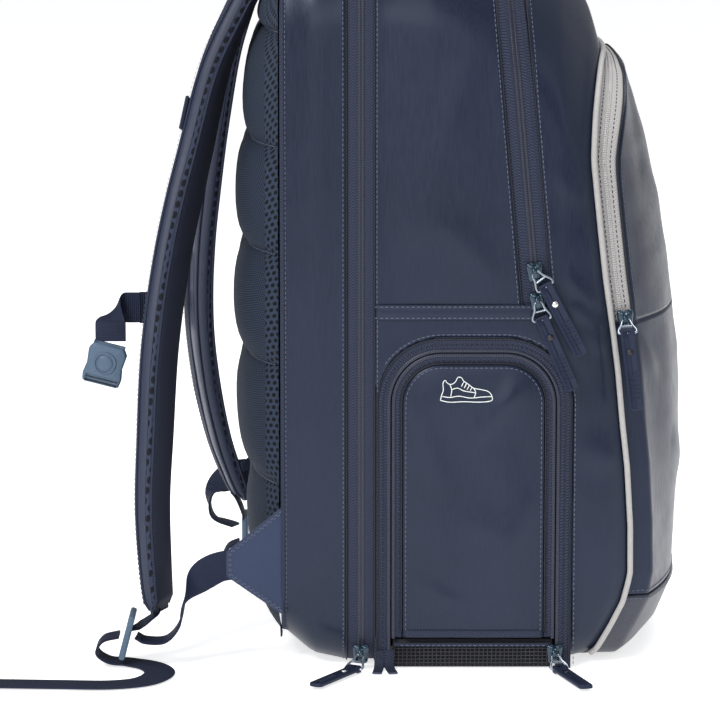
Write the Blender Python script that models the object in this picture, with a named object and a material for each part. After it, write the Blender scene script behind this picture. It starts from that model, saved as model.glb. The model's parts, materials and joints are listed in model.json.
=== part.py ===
"""Racket backpack: a padded rear racket compartment, a main compartment over a shoe tunnel, and a front pocket.

+X is the front of the bag (away from the wearer), +Z is up, and the near side, with the shoe door, is at -Y.
The origin is the middle of the flat base, on the floor. Every length is in metres.
"""

import math

import bmesh
import bpy
from mathutils import Matrix, Vector

# Driving dimensions of the body.
HALF_WIDTH = 0.155
BACK_X = -0.094
RACKET_ZIP_X = -0.0444
RACKET_TAPE_REAR_X = -0.0515
RACKET_TAPE_FRONT_X = -0.0355
TOP_Z = 0.520
FOLD_Z = 0.237
SHELL = 0.003
TAPE = 0.0014
GAP = 0.0004
FOAM_SKIN = 0.006
NEAR = -1
FAR = 1

# The main zip leans backwards above the fold line.
MAIN_ZIP_LEAN = -0.092
MAIN_ZIP_X = 0.0684
MAIN_TAPE_HALF = 0.0098

# The front pocket.
PIPING_HALF_WIDTH = 0.142
POCKET_HALF_WIDTH = 0.138
POCKET_TOP_Z = 0.385
POCKET_TAPE = 0.016
POCKET_FOLD_Z = 0.225
BASE_SEAM_Z = 0.045

# The shoe door on the near side: an inverted U.
DOOR_LEFT_X = -0.0345
DOOR_RIGHT_X = 0.0905
DOOR_TOP_Z = 0.2165
DOOR_CORNER = 0.042
DOOR_COIL = 0.0095
DOOR_EDGE = 0.0165
DOOR_HINGE_Z = 0.0205
FLOOR_GAP = 0.0005

# Webbing, straps and pulls.
WEB_WIDTH = 0.020
WEB_THICK = 0.0014
STRAP_WIDTH = 0.064
STRAP_THICK = 0.016
STRAP_TWIST = 11.0  # degrees that a strap turns its inner face outwards, along its lower part
HANDLE_X = -0.1035
HANDLE_HINGE_Z = 0.494
RING_LENGTH = 0.0115
TAB_LENGTH = 0.050
TAB_WIDTH = 0.0092
BAIL_HEIGHT = 0.0055

PIPING_LINE = (
    (0.003, 0.099), (0.0095, 0.107), (0.025, 0.116), (0.042, 0.1245), (0.060, 0.1288), (0.092, 0.1285),
    (0.131, 0.126), (0.161, 0.1225), (0.193, 0.1195), (0.223, 0.1155), (0.253, 0.111), (0.288, 0.107),
    (0.330, 0.1025), (0.358, 0.102), (0.390, 0.102),
)
FRONT_LINE = (
    (0.003, 0.136), (0.008, 0.145), (0.020, 0.157), (0.042, 0.1655), (0.092, 0.1685), (0.124, 0.1698),
    (0.159, 0.1704), (0.193, 0.1692), (0.235, 0.1639), (0.262, 0.1609), (0.293, 0.1551), (0.335, 0.1471),
    (0.361, 0.1387), (0.381, 0.1304), (0.390, 0.124),
)

NAVY = (0.030, 0.036, 0.062)
NAVY_DARK = (0.014, 0.018, 0.030)
WING_BLUE = (0.020, 0.034, 0.075)
PLASTIC_BLUE = (0.075, 0.115, 0.160)
SILVER_GREY = (0.55, 0.54, 0.53)
GUNMETAL = (0.10, 0.13, 0.17)
LINING = (0.10, 0.11, 0.13)


# ---------------------------------------------------------------- scene helpers
def clear_scene():
    for obj in list(bpy.data.objects):
        bpy.data.objects.remove(obj)


def collection(name):
    made = bpy.data.collections.new(name)
    bpy.context.scene.collection.children.link(made)
    return made


def material(name, colour, roughness, metallic=0.0):
    made = bpy.data.materials.get(name)
    if made is None:
        made = bpy.data.materials.new(name)
        made.use_nodes = True
        shader = made.node_tree.nodes["Principled BSDF"]
        shader.inputs["Base Color"].default_value = (*colour, 1.0)
        shader.inputs["Roughness"].default_value = roughness
        shader.inputs["Metallic"].default_value = metallic
    return made


def smooth(points):
    """A Catmull-Rom curve through the points, with six steps between each two."""
    steps = 6
    points = [Vector(p) for p in points]
    padded = [2 * points[0] - points[1], *points, 2 * points[-1] - points[-2]]
    made = []
    for a, b, c, d in zip(padded, padded[1:], padded[2:], padded[3:]):
        for i in range(steps):
            t = i / steps
            made.append(
                0.5 * (2 * b + (c - a) * t + (2 * a - 5 * b + 4 * c - d) * t * t
                       + (3 * b - 3 * c + d - a) * t ** 3)
            )
    return made + [points[-1]]


def along(line, z):
    """x at height z on a line of (z, x) points."""
    if z <= line[0][0]:
        return line[0][1]
    for (z0, x0), (z1, x1) in zip(line, line[1:]):
        if z <= z1:
            return x0 + (x1 - x0) * (z - z0) / (z1 - z0)
    return line[-1][1]


def mesh_object(name, bm, look, group, pivot=None):
    """The object of a bmesh built in world coordinates. A moving piece has its origin on its joint's axis."""
    bmesh.ops.recalc_face_normals(bm, faces=bm.faces)
    if pivot is not None:
        bmesh.ops.translate(bm, verts=bm.verts, vec=-Vector(pivot))
    mesh = bpy.data.meshes.new(name)
    bm.to_mesh(mesh)
    bm.free()
    obj = bpy.data.objects.new(name, mesh)
    if pivot is not None:
        obj.location = Vector(pivot)
    if look is not None:
        mesh.materials.append(look)
    group.objects.link(obj)
    return obj


def loft(name, rings, look, group, cyclic=False, pivot=None):
    """A closed solid through rings of equally many points, capped at both ends, or joined end to end."""
    bm = bmesh.new()
    rows = [[bm.verts.new(p) for p in ring] for ring in rings]
    pairs = list(zip(rows, rows[1:]))
    if cyclic:
        pairs.append((rows[-1], rows[0]))
    for a, b in pairs:
        for i in range(len(a)):
            j = (i + 1) % len(a)
            bm.faces.new((a[i], a[j], b[j], b[i]))
    if not cyclic:
        bm.faces.new(rows[0][::-1])
        bm.faces.new(rows[-1])
    return mesh_object(name, bm, look, group, pivot)


def box(name, low, high, look, group, pivot=None, bevel=0.0):
    """A box between two corners, with rounded edges where bevel is given."""
    bm = bmesh.new()
    size = Vector(high) - Vector(low)
    middle = (Vector(high) + Vector(low)) / 2
    bmesh.ops.create_cube(bm, size=1.0, matrix=Matrix.Translation(middle) @ Matrix.Diagonal((*size, 1.0)))
    if bevel:
        bmesh.ops.bevel(bm, geom=bm.edges[:], offset=bevel, segments=2, profile=0.5, affect="EDGES")
    return mesh_object(name, bm, look, group, pivot)


def boolean(obj, cutter, operation):
    """Cuts obj with cutter, or joins them, at once."""
    modifier = obj.modifiers.new(operation.lower(), "BOOLEAN")
    modifier.operation = operation
    modifier.solver = "EXACT"
    modifier.object = cutter
    cutter.hide_render = True
    cutter.display_type = "WIRE"
    graph = bpy.context.evaluated_depsgraph_get()
    made = bpy.data.meshes.new_from_object(obj.evaluated_get(graph))
    obj.modifiers.clear()
    obj.data = made
    return obj


def copy_of(obj, name, group):
    made = obj.copy()
    made.data = obj.data.copy()
    made.name = name
    group.objects.link(made)
    return made


def tube(name, points, radius, look, group, cyclic=False, pivot=None):
    """A wire or ring as a bevelled poly curve, made a mesh with its caps welded."""
    data = bpy.data.curves.new(name, "CURVE")
    data.dimensions = "3D"
    data.bevel_depth = radius
    data.bevel_resolution = 1
    data.use_fill_caps = True
    spline = data.splines.new("POLY")
    spline.points.add(len(points) - 1)
    for spot, p in zip(spline.points, points):
        spot.co = (*p, 1.0)
    spline.use_cyclic_u = cyclic
    guide = bpy.data.objects.new(name + "_curve", data)
    group.objects.link(guide)
    graph = bpy.context.evaluated_depsgraph_get()
    bm = bmesh.new()
    bm.from_mesh(bpy.data.meshes.new_from_object(guide.evaluated_get(graph)))
    bpy.data.objects.remove(guide)
    bmesh.ops.remove_doubles(bm, verts=bm.verts, dist=0.00001)
    return mesh_object(name, bm, look, group, pivot)


# ---------------------------------------------------------------- the body's cross-sections
def half_outline(width, top, bottom, corner_y, corner_z, foot):
    """Half a cross-section, from the middle of the floor up the +Y side to the middle of the top."""
    top_steps, foot_steps, side_steps, dome = 7, 3, 7, 0.006
    points = [(0.0, bottom), ((width - foot) * 0.5, bottom)]
    for i in range(foot_steps + 1):
        a = math.radians(90 * i / foot_steps)
        points.append((width - foot + foot * math.sin(a), bottom + foot - foot * math.cos(a)))
    low, high = bottom + foot, top - corner_z
    for i in range(1, side_steps):
        points.append((width, low + (high - low) * i / side_steps))
    for i in range(top_steps + 1):
        a = math.radians(90 * i / top_steps)
        points.append((width - corner_y + corner_y * math.cos(a), high + corner_z * math.sin(a)))
    points.append((0.0, top))
    return [(y, z + dome * max(0.0, (z - high) / corner_z) * (1 - (y / width) ** 2)) for y, z in points]


def section(x_at, width, top, bottom, corner=(0.130, 0.105), foot=0.026, inset=0.0):
    """A closed ring of points: x_at(y, z) gives x, and inset shrinks the ring evenly."""
    half = half_outline(width - inset, top - inset, bottom + inset,
                        corner[0] - inset, corner[1] - inset, max(foot - inset, 0.004))
    full = half + [(-y, z) for y, z in half[-2:0:-1]]
    return [Vector((x_at(y, z), y, z)) for y, z in full]


def upright(x):
    return lambda y, z: x


def leaning(offset):
    """A plane beside the main zip: upright below the fold line, leaning back above it."""
    return lambda y, z: MAIN_ZIP_X + offset + MAIN_ZIP_LEAN * max(0.0, z - FOLD_Z)


def piping_x(y, z, crown=0.013, forward=0.0):
    bulge = crown * (1 - (y / PIPING_HALF_WIDTH) ** 2)
    return along(PIPING_LINE, z) + bulge * min(1.0, z / 0.03) + forward


def front_x(y, z, forward=0.0):
    """The pocket's face, full at the middle and rounded back to the tape at its sides."""
    edge = along(PIPING_LINE, z) + POCKET_TAPE
    middle = max(along(FRONT_LINE, z), edge)
    share = min(1.0, abs(y) / POCKET_HALF_WIDTH)
    return edge + (middle - edge) * (1 - share ** 2.6) + forward


def between(share):
    """A surface part of the way from the main zip's front edge to the piping."""
    rear = leaning(MAIN_TAPE_HALF)
    return lambda y, z: (1 - share) * rear(y, z) + share * piping_x(y, z)


def body_sections(inset):
    """The main compartment's rings, from the racket zip to the piping."""
    return [
        section(upright(RACKET_TAPE_FRONT_X), HALF_WIDTH, TOP_Z, 0.0, inset=inset),
        section(upright(0.0), HALF_WIDTH, 0.517, 0.0, inset=inset),
        section(leaning(-MAIN_TAPE_HALF), HALF_WIDTH, 0.500, 0.0, inset=inset),
        section(leaning(MAIN_TAPE_HALF), HALF_WIDTH, 0.479, 0.0, inset=inset),
        section(between(0.45), 0.1525, 0.449, 0.001, inset=inset),
        section(between(0.8), 0.1475, 0.417, 0.002, inset=inset),
    ]


def piping_section(inset=0.0, forward=0.0, width=PIPING_HALF_WIDTH):
    return section(lambda y, z: piping_x(y, z, forward=forward), width, POCKET_TOP_Z, 0.003,
                   corner=(0.075, 0.070), foot=0.020, inset=inset)


def patch(ring, x_at, shares=(0.95, 0.85, 0.6, 0.3)):
    """Rings that close a section towards its middle, on the surface x_at."""
    middle = (POCKET_TOP_Z + 0.003) / 2
    rings = []
    for share in shares:
        spots = [(p.y * share, middle + (p.z - middle) * share) for p in ring]
        rings.append([Vector((x_at(y, z), y, z)) for y, z in spots])
    return rings


def band(name, rear, front, thick, look, group, pivot=None):
    """A closed loop of wall between two rings' x positions: rear and front are functions of an inset."""
    rings = [rear(0.0), front(0.0), front(thick), rear(thick)]
    return loft(name, rings, look, group, cyclic=True, pivot=pivot)


def arch(name, ring_rear, ring_front, inner_rear, inner_front, low, look, group, pivot=None):
    """The part of a band above a height: four points at each step along the section."""
    quads = list(zip(ring_rear, ring_front, inner_front, inner_rear))
    above = [i for i, q in enumerate(quads) if q[0].z > low + 0.001]
    kept = [quads[i] for i in above]
    ends = []
    for i, j in ((above[0] - 1, above[0]), (above[-1] + 1, above[-1])):
        ends.append([a.lerp(b, (low - a.z) / (b.z - a.z)) for a, b in zip(quads[i], quads[j])])
    return loft(name, [ends[0], *kept, ends[1]], look, group, pivot=pivot)


# ---------------------------------------------------------------- main compartment
def cup(name, look, group):
    """The whole shell from the racket zip to the wall behind the pocket, open at the back."""
    outer = body_sections(0.0)
    outer.append(piping_section())
    outer += patch(outer[-1], piping_x)
    inner = body_sections(SHELL)
    inner.append(piping_section(inset=SHELL, forward=-SHELL))
    inner += patch(inner[-1], lambda y, z: piping_x(y, z, forward=-SHELL))
    bm = bmesh.new()
    rows = [[bm.verts.new(p) for p in ring] for ring in outer]
    inner_rows = [[bm.verts.new(p) for p in ring] for ring in inner]
    for surface in (rows, inner_rows):
        for a, b in zip(surface, surface[1:]):
            for i in range(len(a)):
                j = (i + 1) % len(a)
                bm.faces.new((a[i], a[j], b[j], b[i]))
        bm.faces.new(surface[-1])
    for i in range(len(rows[0])):
        j = (i + 1) % len(rows[0])
        bm.faces.new((rows[0][i], rows[0][j], inner_rows[0][j], inner_rows[0][i]))
    return mesh_object(name, bm, look, group)


def zip_cutter(name, offset, low, group):
    """All the space in front of a plane beside the main zip, above a height."""
    far, high, wide = 0.4, 0.7, 0.3
    x_at = leaning(offset)
    corners = [(x_at(0, low), low), (far, low), (far, high), (x_at(0, high), high)]
    rings = [[Vector((x, y, z)) for x, z in corners] for y in (-wide, wide)]
    return loft(name, rings, None, group)


def door_outline(offset, low):
    """The shoe door's inverted U, moved inwards by offset, as (x, z) points that end at height low."""
    left, right = DOOR_LEFT_X + offset, DOOR_RIGHT_X - offset
    top, r, steps = DOOR_TOP_Z - offset, DOOR_CORNER - offset, 7
    points = [(left, low)]
    for i in range(steps + 1):
        a = math.radians(180 - 90 * i / steps)
        points.append((left + r + r * math.cos(a), top - r + r * math.sin(a)))
    for i in range(steps + 1):
        a = math.radians(90 - 90 * i / steps)
        points.append((right - r + r * math.cos(a), top - r + r * math.sin(a)))
    return points + [(right, low)]


def side_plate(name, points, y_low, y_high, look, group, pivot=None):
    """A flat outline on the near side, given its thickness."""
    rings = [[Vector((x, y, z)) for x, z in points] for y in (y_low, y_high)]
    return loft(name, rings, look, group, pivot=pivot)


def u_band(name, outer_offset, inner_offset, low, y_low, y_high, look, group, pivot=None):
    """The strip between two inverted Us."""
    outer, inner = door_outline(outer_offset, low), door_outline(inner_offset, low)
    rings = [
        [Vector((a[0], y_low, a[1])), Vector((b[0], y_low, b[1])),
         Vector((b[0], y_high, b[1])), Vector((a[0], y_high, a[1]))]
        for a, b in zip(outer, inner)
    ]
    return loft(name, rings, look, group, pivot=pivot)


def main_compartment(parts, cutters):
    fabric = material("navy_fabric", NAVY, 0.5)
    tape = material("zip_tape", NAVY, 0.7)
    lining = material("lining", LINING, 0.8)
    whole = cup("cup", fabric, cutters)
    shell = copy_of(whole, "main_shell", parts)
    boolean(shell, zip_cutter("cut_flap", -MAIN_TAPE_HALF, FOLD_Z, cutters), "DIFFERENCE")
    hole = door_outline(-GAP, FLOOR_GAP + SHELL)
    boolean(shell, side_plate("cut_door", hole, -0.2, -0.145, None, cutters), "DIFFERENCE")
    flap = copy_of(whole, "flap_shell", parts)
    boolean(flap, zip_cutter("keep_flap", MAIN_TAPE_HALF, FOLD_Z + 0.003, cutters), "INTERSECT")
    whole.hide_render = True

    def arch_between(name, a, b):
        rear, front = leaning(a), leaning(b)
        share = (a + MAIN_TAPE_HALF) / (2 * MAIN_TAPE_HALF), (b + MAIN_TAPE_HALF) / (2 * MAIN_TAPE_HALF)
        tops = [0.500 - 0.021 * s for s in share]
        rings = [section(x, HALF_WIDTH, top, 0.0, inset=d)
                 for d in (0.0003, 0.0003 + TAPE) for x, top in ((rear, tops[0]), (front, tops[1]))]
        arch(name, rings[0], rings[1], rings[2], rings[3], FOLD_Z + 0.004, tape, parts)

    arch_between("main_zip_tape_rear", -MAIN_TAPE_HALF + GAP, -GAP / 2)
    arch_between("main_zip_tape_front", GAP / 2, MAIN_TAPE_HALF - GAP)

    inside = SHELL + GAP
    plate = [section(upright(x), HALF_WIDTH, TOP_Z - 0.002, 0.0, inset=inside) for x in (-0.0350, -0.0315)]
    loft("divider_panel", plate, lining, parts)
    edge = [(-0.0310, 0.1512), (0.076, 0.1512), (0.092, 0.1486), (0.104, 0.1430)]
    outline = edge + [(x, -y) for x, y in edge[::-1]]
    loft("compartment_floor", [[Vector((x, y, z)) for x, y in outline] for z in (0.2270, 0.2290)], lining, parts)
    box("base_board", (-0.0310, -0.124, 0.0034), (0.072, 0.124, 0.0074), lining, parts)
    box("laptop_sleeve", (-0.0130, -0.125, 0.2294), (-0.0110, 0.125, 0.430), lining, parts)
    box("shoe_vent_mesh", (DOOR_LEFT_X + DOOR_EDGE, -0.1548, FLOOR_GAP + SHELL + GAP),
        (DOOR_RIGHT_X - DOOR_EDGE, -0.1536, DOOR_HINGE_Z - 0.001), tape, parts)
    u_band("shoe_zip_tape_outer", 0.0, DOOR_COIL - GAP / 2, FLOOR_GAP + SHELL + GAP, -0.1553, -0.1538, tape, parts)

    def racket_ring(x):
        return lambda d: section(upright(x), HALF_WIDTH, TOP_Z, 0.0, inset=0.0003 + d)

    band("racket_zip_tape_front", racket_ring(RACKET_ZIP_X + GAP / 2), racket_ring(RACKET_TAPE_FRONT_X - GAP),
         TAPE, tape, parts)


def shoe_door(parts, pivot):
    fabric = material("navy_fabric", NAVY, 0.5)
    tape = material("zip_tape", NAVY, 0.7)
    u_band("shoe_zip_tape_inner", DOOR_COIL + GAP / 2, DOOR_EDGE - GAP / 2, DOOR_HINGE_Z, -0.1553, -0.1538,
           tape, parts, pivot)
    side_plate("shoe_door", door_outline(DOOR_EDGE + GAP / 2, DOOR_HINGE_Z), -0.1565, -0.1538,
               fabric, parts, pivot)


# ---------------------------------------------------------------- front pocket
def pocket_cup(name, look, group):
    """The pocket's whole outer shell: gusset and face, open towards the bag."""
    wall = 0.002

    def rings(inset, forward):
        start = piping_section(inset=0.0012 + inset, forward=0.0014)
        rim = section(lambda y, z: front_x(y, z, forward), POCKET_HALF_WIDTH, POCKET_TOP_Z - 0.002, 0.003,
                      corner=(0.071, 0.066), foot=0.020, inset=inset)
        return [start, rim, *patch(rim, lambda y, z: front_x(y, z, forward), (0.95, 0.85, 0.70, 0.5, 0.25))]

    outer, inner = rings(0.0, 0.0), rings(wall, -wall)
    bm = bmesh.new()
    for surface in (outer, inner):
        surface[:] = [[bm.verts.new(p) for p in ring] for ring in surface]
        for a, b in zip(surface, surface[1:]):
            for i in range(len(a)):
                j = (i + 1) % len(a)
                bm.faces.new((a[i], a[j], b[j], b[i]))
        bm.faces.new(surface[-1])
    for i in range(len(outer[0])):
        j = (i + 1) % len(outer[0])
        bm.faces.new((outer[0][i], outer[0][j], inner[0][j], inner[0][i]))
    return mesh_object(name, bm, look, group)


def piping(parts, flap_pivot):
    """The pale cord sewn round the pocket: two lower runs, and the arch that opens with the flap."""
    light = material("piping", SILVER_GREY, 0.5)
    radius, off, ahead, start = 0.0017, 0.0022, 0.0019, 0.016
    ring = section(lambda y, z: along(PIPING_LINE, z) + ahead + 0.013 * (1 - (y / PIPING_HALF_WIDTH) ** 2),
                   PIPING_HALF_WIDTH, POCKET_TOP_Z, 0.003, corner=(0.075, 0.070), foot=0.020, inset=-off)
    above = [i for i, p in enumerate(ring) if p.z > start + 0.001]

    def at(low, i, j):
        a, b = ring[i], ring[j]
        return a.lerp(b, (low - a.z) / (b.z - a.z))

    kept = [ring[i] for i in above]
    line = [at(start, above[0] - 1, above[0]), *kept, at(start, above[-1] + 1, above[-1])]
    for side, label in ((NEAR, "near"), (FAR, "far")):
        run = [p for p in line if p.y * side > 0 and p.z < POCKET_FOLD_Z - 0.004]
        rest = [p for p in line if p.y * side > 0 and p.z >= POCKET_FOLD_Z - 0.004]
        run.sort(key=lambda p: p.z)
        above_fold = min(rest, key=lambda p: p.z)
        end = run[-1].lerp(above_fold, (POCKET_FOLD_Z - 0.001 - run[-1].z) / (above_fold.z - run[-1].z))
        tube(f"piping_{label}", [*run, end], radius, light, parts)
    high = [i for i, p in enumerate(line) if p.z > POCKET_FOLD_Z + 0.004]
    low = POCKET_FOLD_Z + 0.002
    ends = []
    for i, j in ((high[0] - 1, high[0]), (high[-1] + 1, high[-1])):
        ends.append(line[i].lerp(line[j], (low - line[i].z) / (line[j].z - line[i].z)))
    tube("piping_arch", [ends[0], *(line[i] for i in high), ends[1]], radius, light, parts, pivot=flap_pivot)


def front_pocket(parts, cutters, flap_pivot, pocket_pivot):
    fabric = material("navy_fabric", NAVY, 0.5)
    grey = material("grey_tape", SILVER_GREY, 0.6)
    leatherette = material("leatherette", NAVY_DARK, 0.35)
    whole = pocket_cup("pocket_cup", fabric, cutters)
    wide, deep = 0.25, 0.3
    base = copy_of(whole, "base_panel", parts)
    base.data.materials.clear()
    base.data.materials.append(leatherette)
    boolean(base, box("cut_base", (0, -wide, BASE_SEAM_Z), (deep, wide, 0.6), None, cutters), "DIFFERENCE")
    lower = copy_of(whole, "pocket_lower", parts)
    boolean(lower, box("keep_lower", (0, -wide, BASE_SEAM_Z + GAP), (deep, wide, POCKET_FOLD_Z - 0.001),
                       None, cutters), "INTERSECT")
    whole.hide_render = True
    rim = section(front_x, POCKET_HALF_WIDTH - GAP, POCKET_TOP_Z - 0.002 - GAP, 0.003,
                  corner=(0.071, 0.066), foot=0.020)
    back = [Vector((front_x(p.y, p.z, -0.002), p.y, p.z)) for p in rim]
    shares = (0.95, 0.85, 0.70, 0.5, 0.25)
    rings = [*patch(back, lambda y, z: front_x(y, z, -0.002), shares)[::-1], back, rim, *patch(rim, front_x, shares)]
    upper = loft("pocket_upper", rings, fabric, parts)
    boolean(upper, box("keep_upper", (0, -wide, POCKET_FOLD_Z + 0.002), (deep, wide, 0.6), None, cutters),
            "INTERSECT")

    def tape_between(name, a, b):
        def ring(share, inset):
            width = PIPING_HALF_WIDTH + (POCKET_HALF_WIDTH - PIPING_HALF_WIDTH) * share - 0.0006
            return section(lambda y, z: (1 - share) * piping_x(y, z) + share * front_x(y, z), width,
                           POCKET_TOP_Z - 0.001 - 0.002 * share, 0.003, corner=(0.073, 0.068), foot=0.02,
                           inset=inset)
        arch(name, ring(a, 0.0), ring(b, 0.0), ring(a, TAPE), ring(b, TAPE), POCKET_FOLD_Z + 0.002, grey, parts)

    middle, half_gap = 0.5, 0.016
    tape_between("pocket_zip_tape_rear", 0.07, middle - half_gap)
    tape_between("pocket_zip_tape_front", middle + half_gap, 0.72)
    piping(parts, flap_pivot)
    for name, pivot in (("flap_shell", flap_pivot), ("main_zip_tape_front", flap_pivot),
                        ("pocket_zip_tape_rear", flap_pivot), ("pocket_zip_tape_front", pocket_pivot),
                        ("pocket_upper", pocket_pivot)):
        set_origin(bpy.data.objects[name], pivot)


def set_origin(obj, pivot):
    """Moves an object's origin onto its joint's axis, with its mesh where it was."""
    obj.data.transform(Matrix.Translation(-Vector(pivot)))
    obj.location = Vector(pivot)


# ---------------------------------------------------------------- racket compartment and back
def pad_depth(y, z):
    """How far the padded back stands off the board, fuller in the lumbar region and thin at its sides."""
    fullness = along(((0.010, 0.012), (0.045, 0.019), (0.120, 0.0285), (0.230, 0.0325), (0.330, 0.0300),
                      (0.410, 0.0205), (0.430, 0.0120), (0.440, 0.0040)), z)
    side = min(1.0, abs(y) / 0.1475)
    return max(0.0030, fullness * (1 - side ** 5))


def back_padding(parts, pivot):
    """One quilted foam panel: six pads, one above the other, with a stitched crease between each two."""
    mesh_look = material("air_mesh", NAVY_DARK, 0.9)
    seams = (0.0140, 0.1190, 0.1970, 0.2690, 0.3380, 0.4110, 0.4400)
    y_steps, z_steps, reach, crease = 12, 5, 0.1475, 0.0045
    heights = [seams[0]]
    for low, high in zip(seams, seams[1:]):
        heights += [low + (high - low) * (i + 1) / z_steps for i in range(z_steps)]
    rings = []
    for z in heights:
        low, high = next(pair for pair in zip(seams, seams[1:]) if z <= pair[1] + 0.00001)
        pinch = crease * abs(2 * (z - low) / (high - low) - 1) ** 4
        corner = reach - 0.020 * max(0.0, (0.05 - z) / 0.036) ** 2
        ys = [corner * (2 * j / y_steps - 1) for j in range(y_steps + 1)]
        depths = [max(0.0025, pad_depth(y * reach / corner, z) - pinch) for y in ys]
        skin = FOAM_SKIN if heights[0] < z < heights[-1] else 1.0
        row = [Vector((BACK_X - GAP - depth, y, z)) for y, depth in zip(ys, depths)]
        row += [Vector((BACK_X - GAP - max(0.0, depth - skin), y, z)) for y, depth in zip(ys[::-1], depths[::-1])]
        rings.append(row)
    loft("back_padding", rings, mesh_look, parts, pivot=pivot)


def racket_compartment(parts, pivot):
    fabric = material("navy_fabric", NAVY, 0.5)
    tape = material("zip_tape", NAVY, 0.7)
    lining = material("lining", LINING, 0.8)

    def seam(inset, x=BACK_X):
        return section(upright(x), 0.150, 0.508, 0.020, foot=0.030, inset=inset)

    def shell_rings(inset):
        return [seam(inset), section(upright(-0.075), 0.1545, 0.515, 0.005, foot=0.028, inset=inset),
                section(upright(RACKET_TAPE_REAR_X), HALF_WIDTH, TOP_Z, 0.0, inset=inset)]

    loft("racket_gusset", shell_rings(0.0) + shell_rings(SHELL)[::-1], fabric, parts, cyclic=True, pivot=pivot)
    loft("back_board", [seam(SHELL + GAP), seam(SHELL + GAP, BACK_X + 0.003)], lining, parts, pivot=pivot)

    def racket_ring(x):
        return lambda d: section(upright(x), HALF_WIDTH, TOP_Z, 0.0, inset=0.0003 + d)

    band("racket_zip_tape_rear", racket_ring(RACKET_TAPE_REAR_X + GAP), racket_ring(RACKET_ZIP_X - GAP / 2),
         TAPE, tape, parts, pivot)
    back_padding(parts, pivot)
    wing_look = material("wing_nylon", WING_BLUE, 0.6)
    for side, label in ((NEAR, "near"), (FAR, "far")):
        corners = [(-0.0945, 0.106), (-0.1315, 0.076), (-0.1315, 0.060), (-0.0945, 0.034)]
        rings = [[Vector((x, side * y, z)) for x, z in corners] for y in (0.1490, 0.1506)]
        loft(f"strap_wing_{label}", rings, wing_look, parts, pivot=pivot)


def haul_handle(parts, pivot):
    """A sewn grab loop over the top of the back."""
    web = material("webbing", NAVY_DARK, 0.8)
    half_loop = [(0.056, 0.492), (0.0555, 0.512), (0.050, 0.532), (0.034, 0.546), (0.012, 0.5505)]
    loop = [(-y, z) for y, z in half_loop] + half_loop[::-1]
    points = smooth([(HANDLE_X, y, z) for y, z in loop])
    rings = []
    for i, p in enumerate(points):
        ahead = (points[min(i + 1, len(points) - 1)] - points[max(i - 1, 0)]).normalized()
        wide = Vector((1, 0, 0))
        thick = ahead.cross(wide).normalized()
        half = 0.0085
        rings.append([p + wide * (half * c) + thick * (0.003 * s)
                      for c, s in ((-1, -0.5), (-0.7, -1), (0.7, -1), (1, -0.5), (1, 0.5), (0.7, 1), (-0.7, 1), (-1, 0.5))])
    loft("haul_handle", rings, web, parts, pivot=pivot)


# ---------------------------------------------------------------- straps
NEAR_STRAP = ((-0.1035, -0.050, 0.470), (-0.1050, -0.051, 0.458), (-0.1140, -0.053, 0.440),
              (-0.1240, -0.055, 0.420), (-0.1400, -0.060, 0.382), (-0.1525, -0.068, 0.330),
              (-0.1665, -0.083, 0.268), (-0.1755, -0.100, 0.205), (-0.1790, -0.112, 0.143),
              (-0.1805, -0.120, 0.100), (-0.1785, -0.126, 0.058), (-0.1760, -0.129, 0.032))
FAR_STRAP = ((-0.1035, 0.050, 0.470), (-0.1050, 0.051, 0.458), (-0.1140, 0.053, 0.440),
             (-0.1240, 0.055, 0.420), (-0.1365, 0.060, 0.380), (-0.1470, 0.068, 0.325),
             (-0.1560, 0.080, 0.258), (-0.1585, 0.092, 0.200), (-0.1545, 0.102, 0.150),
             (-0.1465, 0.110, 0.108), (-0.1380, 0.114, 0.080), (-0.1300, 0.116, 0.060))


def strap(name, spine, side, look, group, pivot):
    """A padded strap: a rounded bar of foam, wide across the shoulder and narrower at its lower end."""
    points = smooth(spine)[::3]
    points[-1] = Vector(spine[-1])
    rings = []
    for i, p in enumerate(points):
        ahead = (points[min(i + 1, len(points) - 1)] - points[max(i - 1, 0)]).normalized()
        share = i / (len(points) - 1)
        twist = math.radians(-STRAP_TWIST * min(1.0, max(0.0, 3 * share - 0.5)))
        wide = Vector((-math.sin(twist), -side * math.cos(twist), 0.0))
        wide = (wide - ahead * wide.dot(ahead)).normalized()
        thick = ahead.cross(wide).normalized()
        half = 0.5 * STRAP_WIDTH * (1 - 0.38 * share ** 3)
        deep = 0.5 * STRAP_THICK * (1 - 0.35 * share ** 6)
        shape = ((-1, -0.35), (-0.82, -1), (0, -1), (0.82, -1), (1, -0.35), (1, 0.35), (0.82, 1), (0, 1),
                 (-0.82, 1), (-1, 0.35))
        rings.append([p + wide * (half * c) + thick * (deep * s) for c, s in shape])
    return loft(name, rings, look, group, pivot=pivot)


def ribbon(name, spine, look, group, pivot=None, width=WEB_WIDTH, thick=WEB_THICK):
    """Flat webbing: spine holds (point, direction across the webbing) at each hand-set place.

    Its faces are triangles, because the webbing twists.
    """
    points = smooth([p for p, _ in spine])[::2]
    across = smooth([w for _, w in spine])[::2]
    points[-1], across[-1] = Vector(spine[-1][0]), Vector(spine[-1][1])
    rings = []
    for i, (p, w) in enumerate(zip(points, across)):
        ahead = (points[min(i + 1, len(points) - 1)] - points[max(i - 1, 0)]).normalized()
        wide = (w - ahead * w.dot(ahead)).normalized()
        deep = ahead.cross(wide).normalized()
        rings.append([p + wide * (width / 2 * c) + deep * (thick / 2 * s)
                      for c, s in ((-1, -1), (1, -1), (1, 1), (-1, 1))])
    made = loft(name, rings, look, group, pivot=pivot)
    bm = bmesh.new()
    bm.from_mesh(made.data)
    bmesh.ops.triangulate(bm, faces=bm.faces[:])
    bm.to_mesh(made.data)
    bm.free()
    return made


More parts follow.
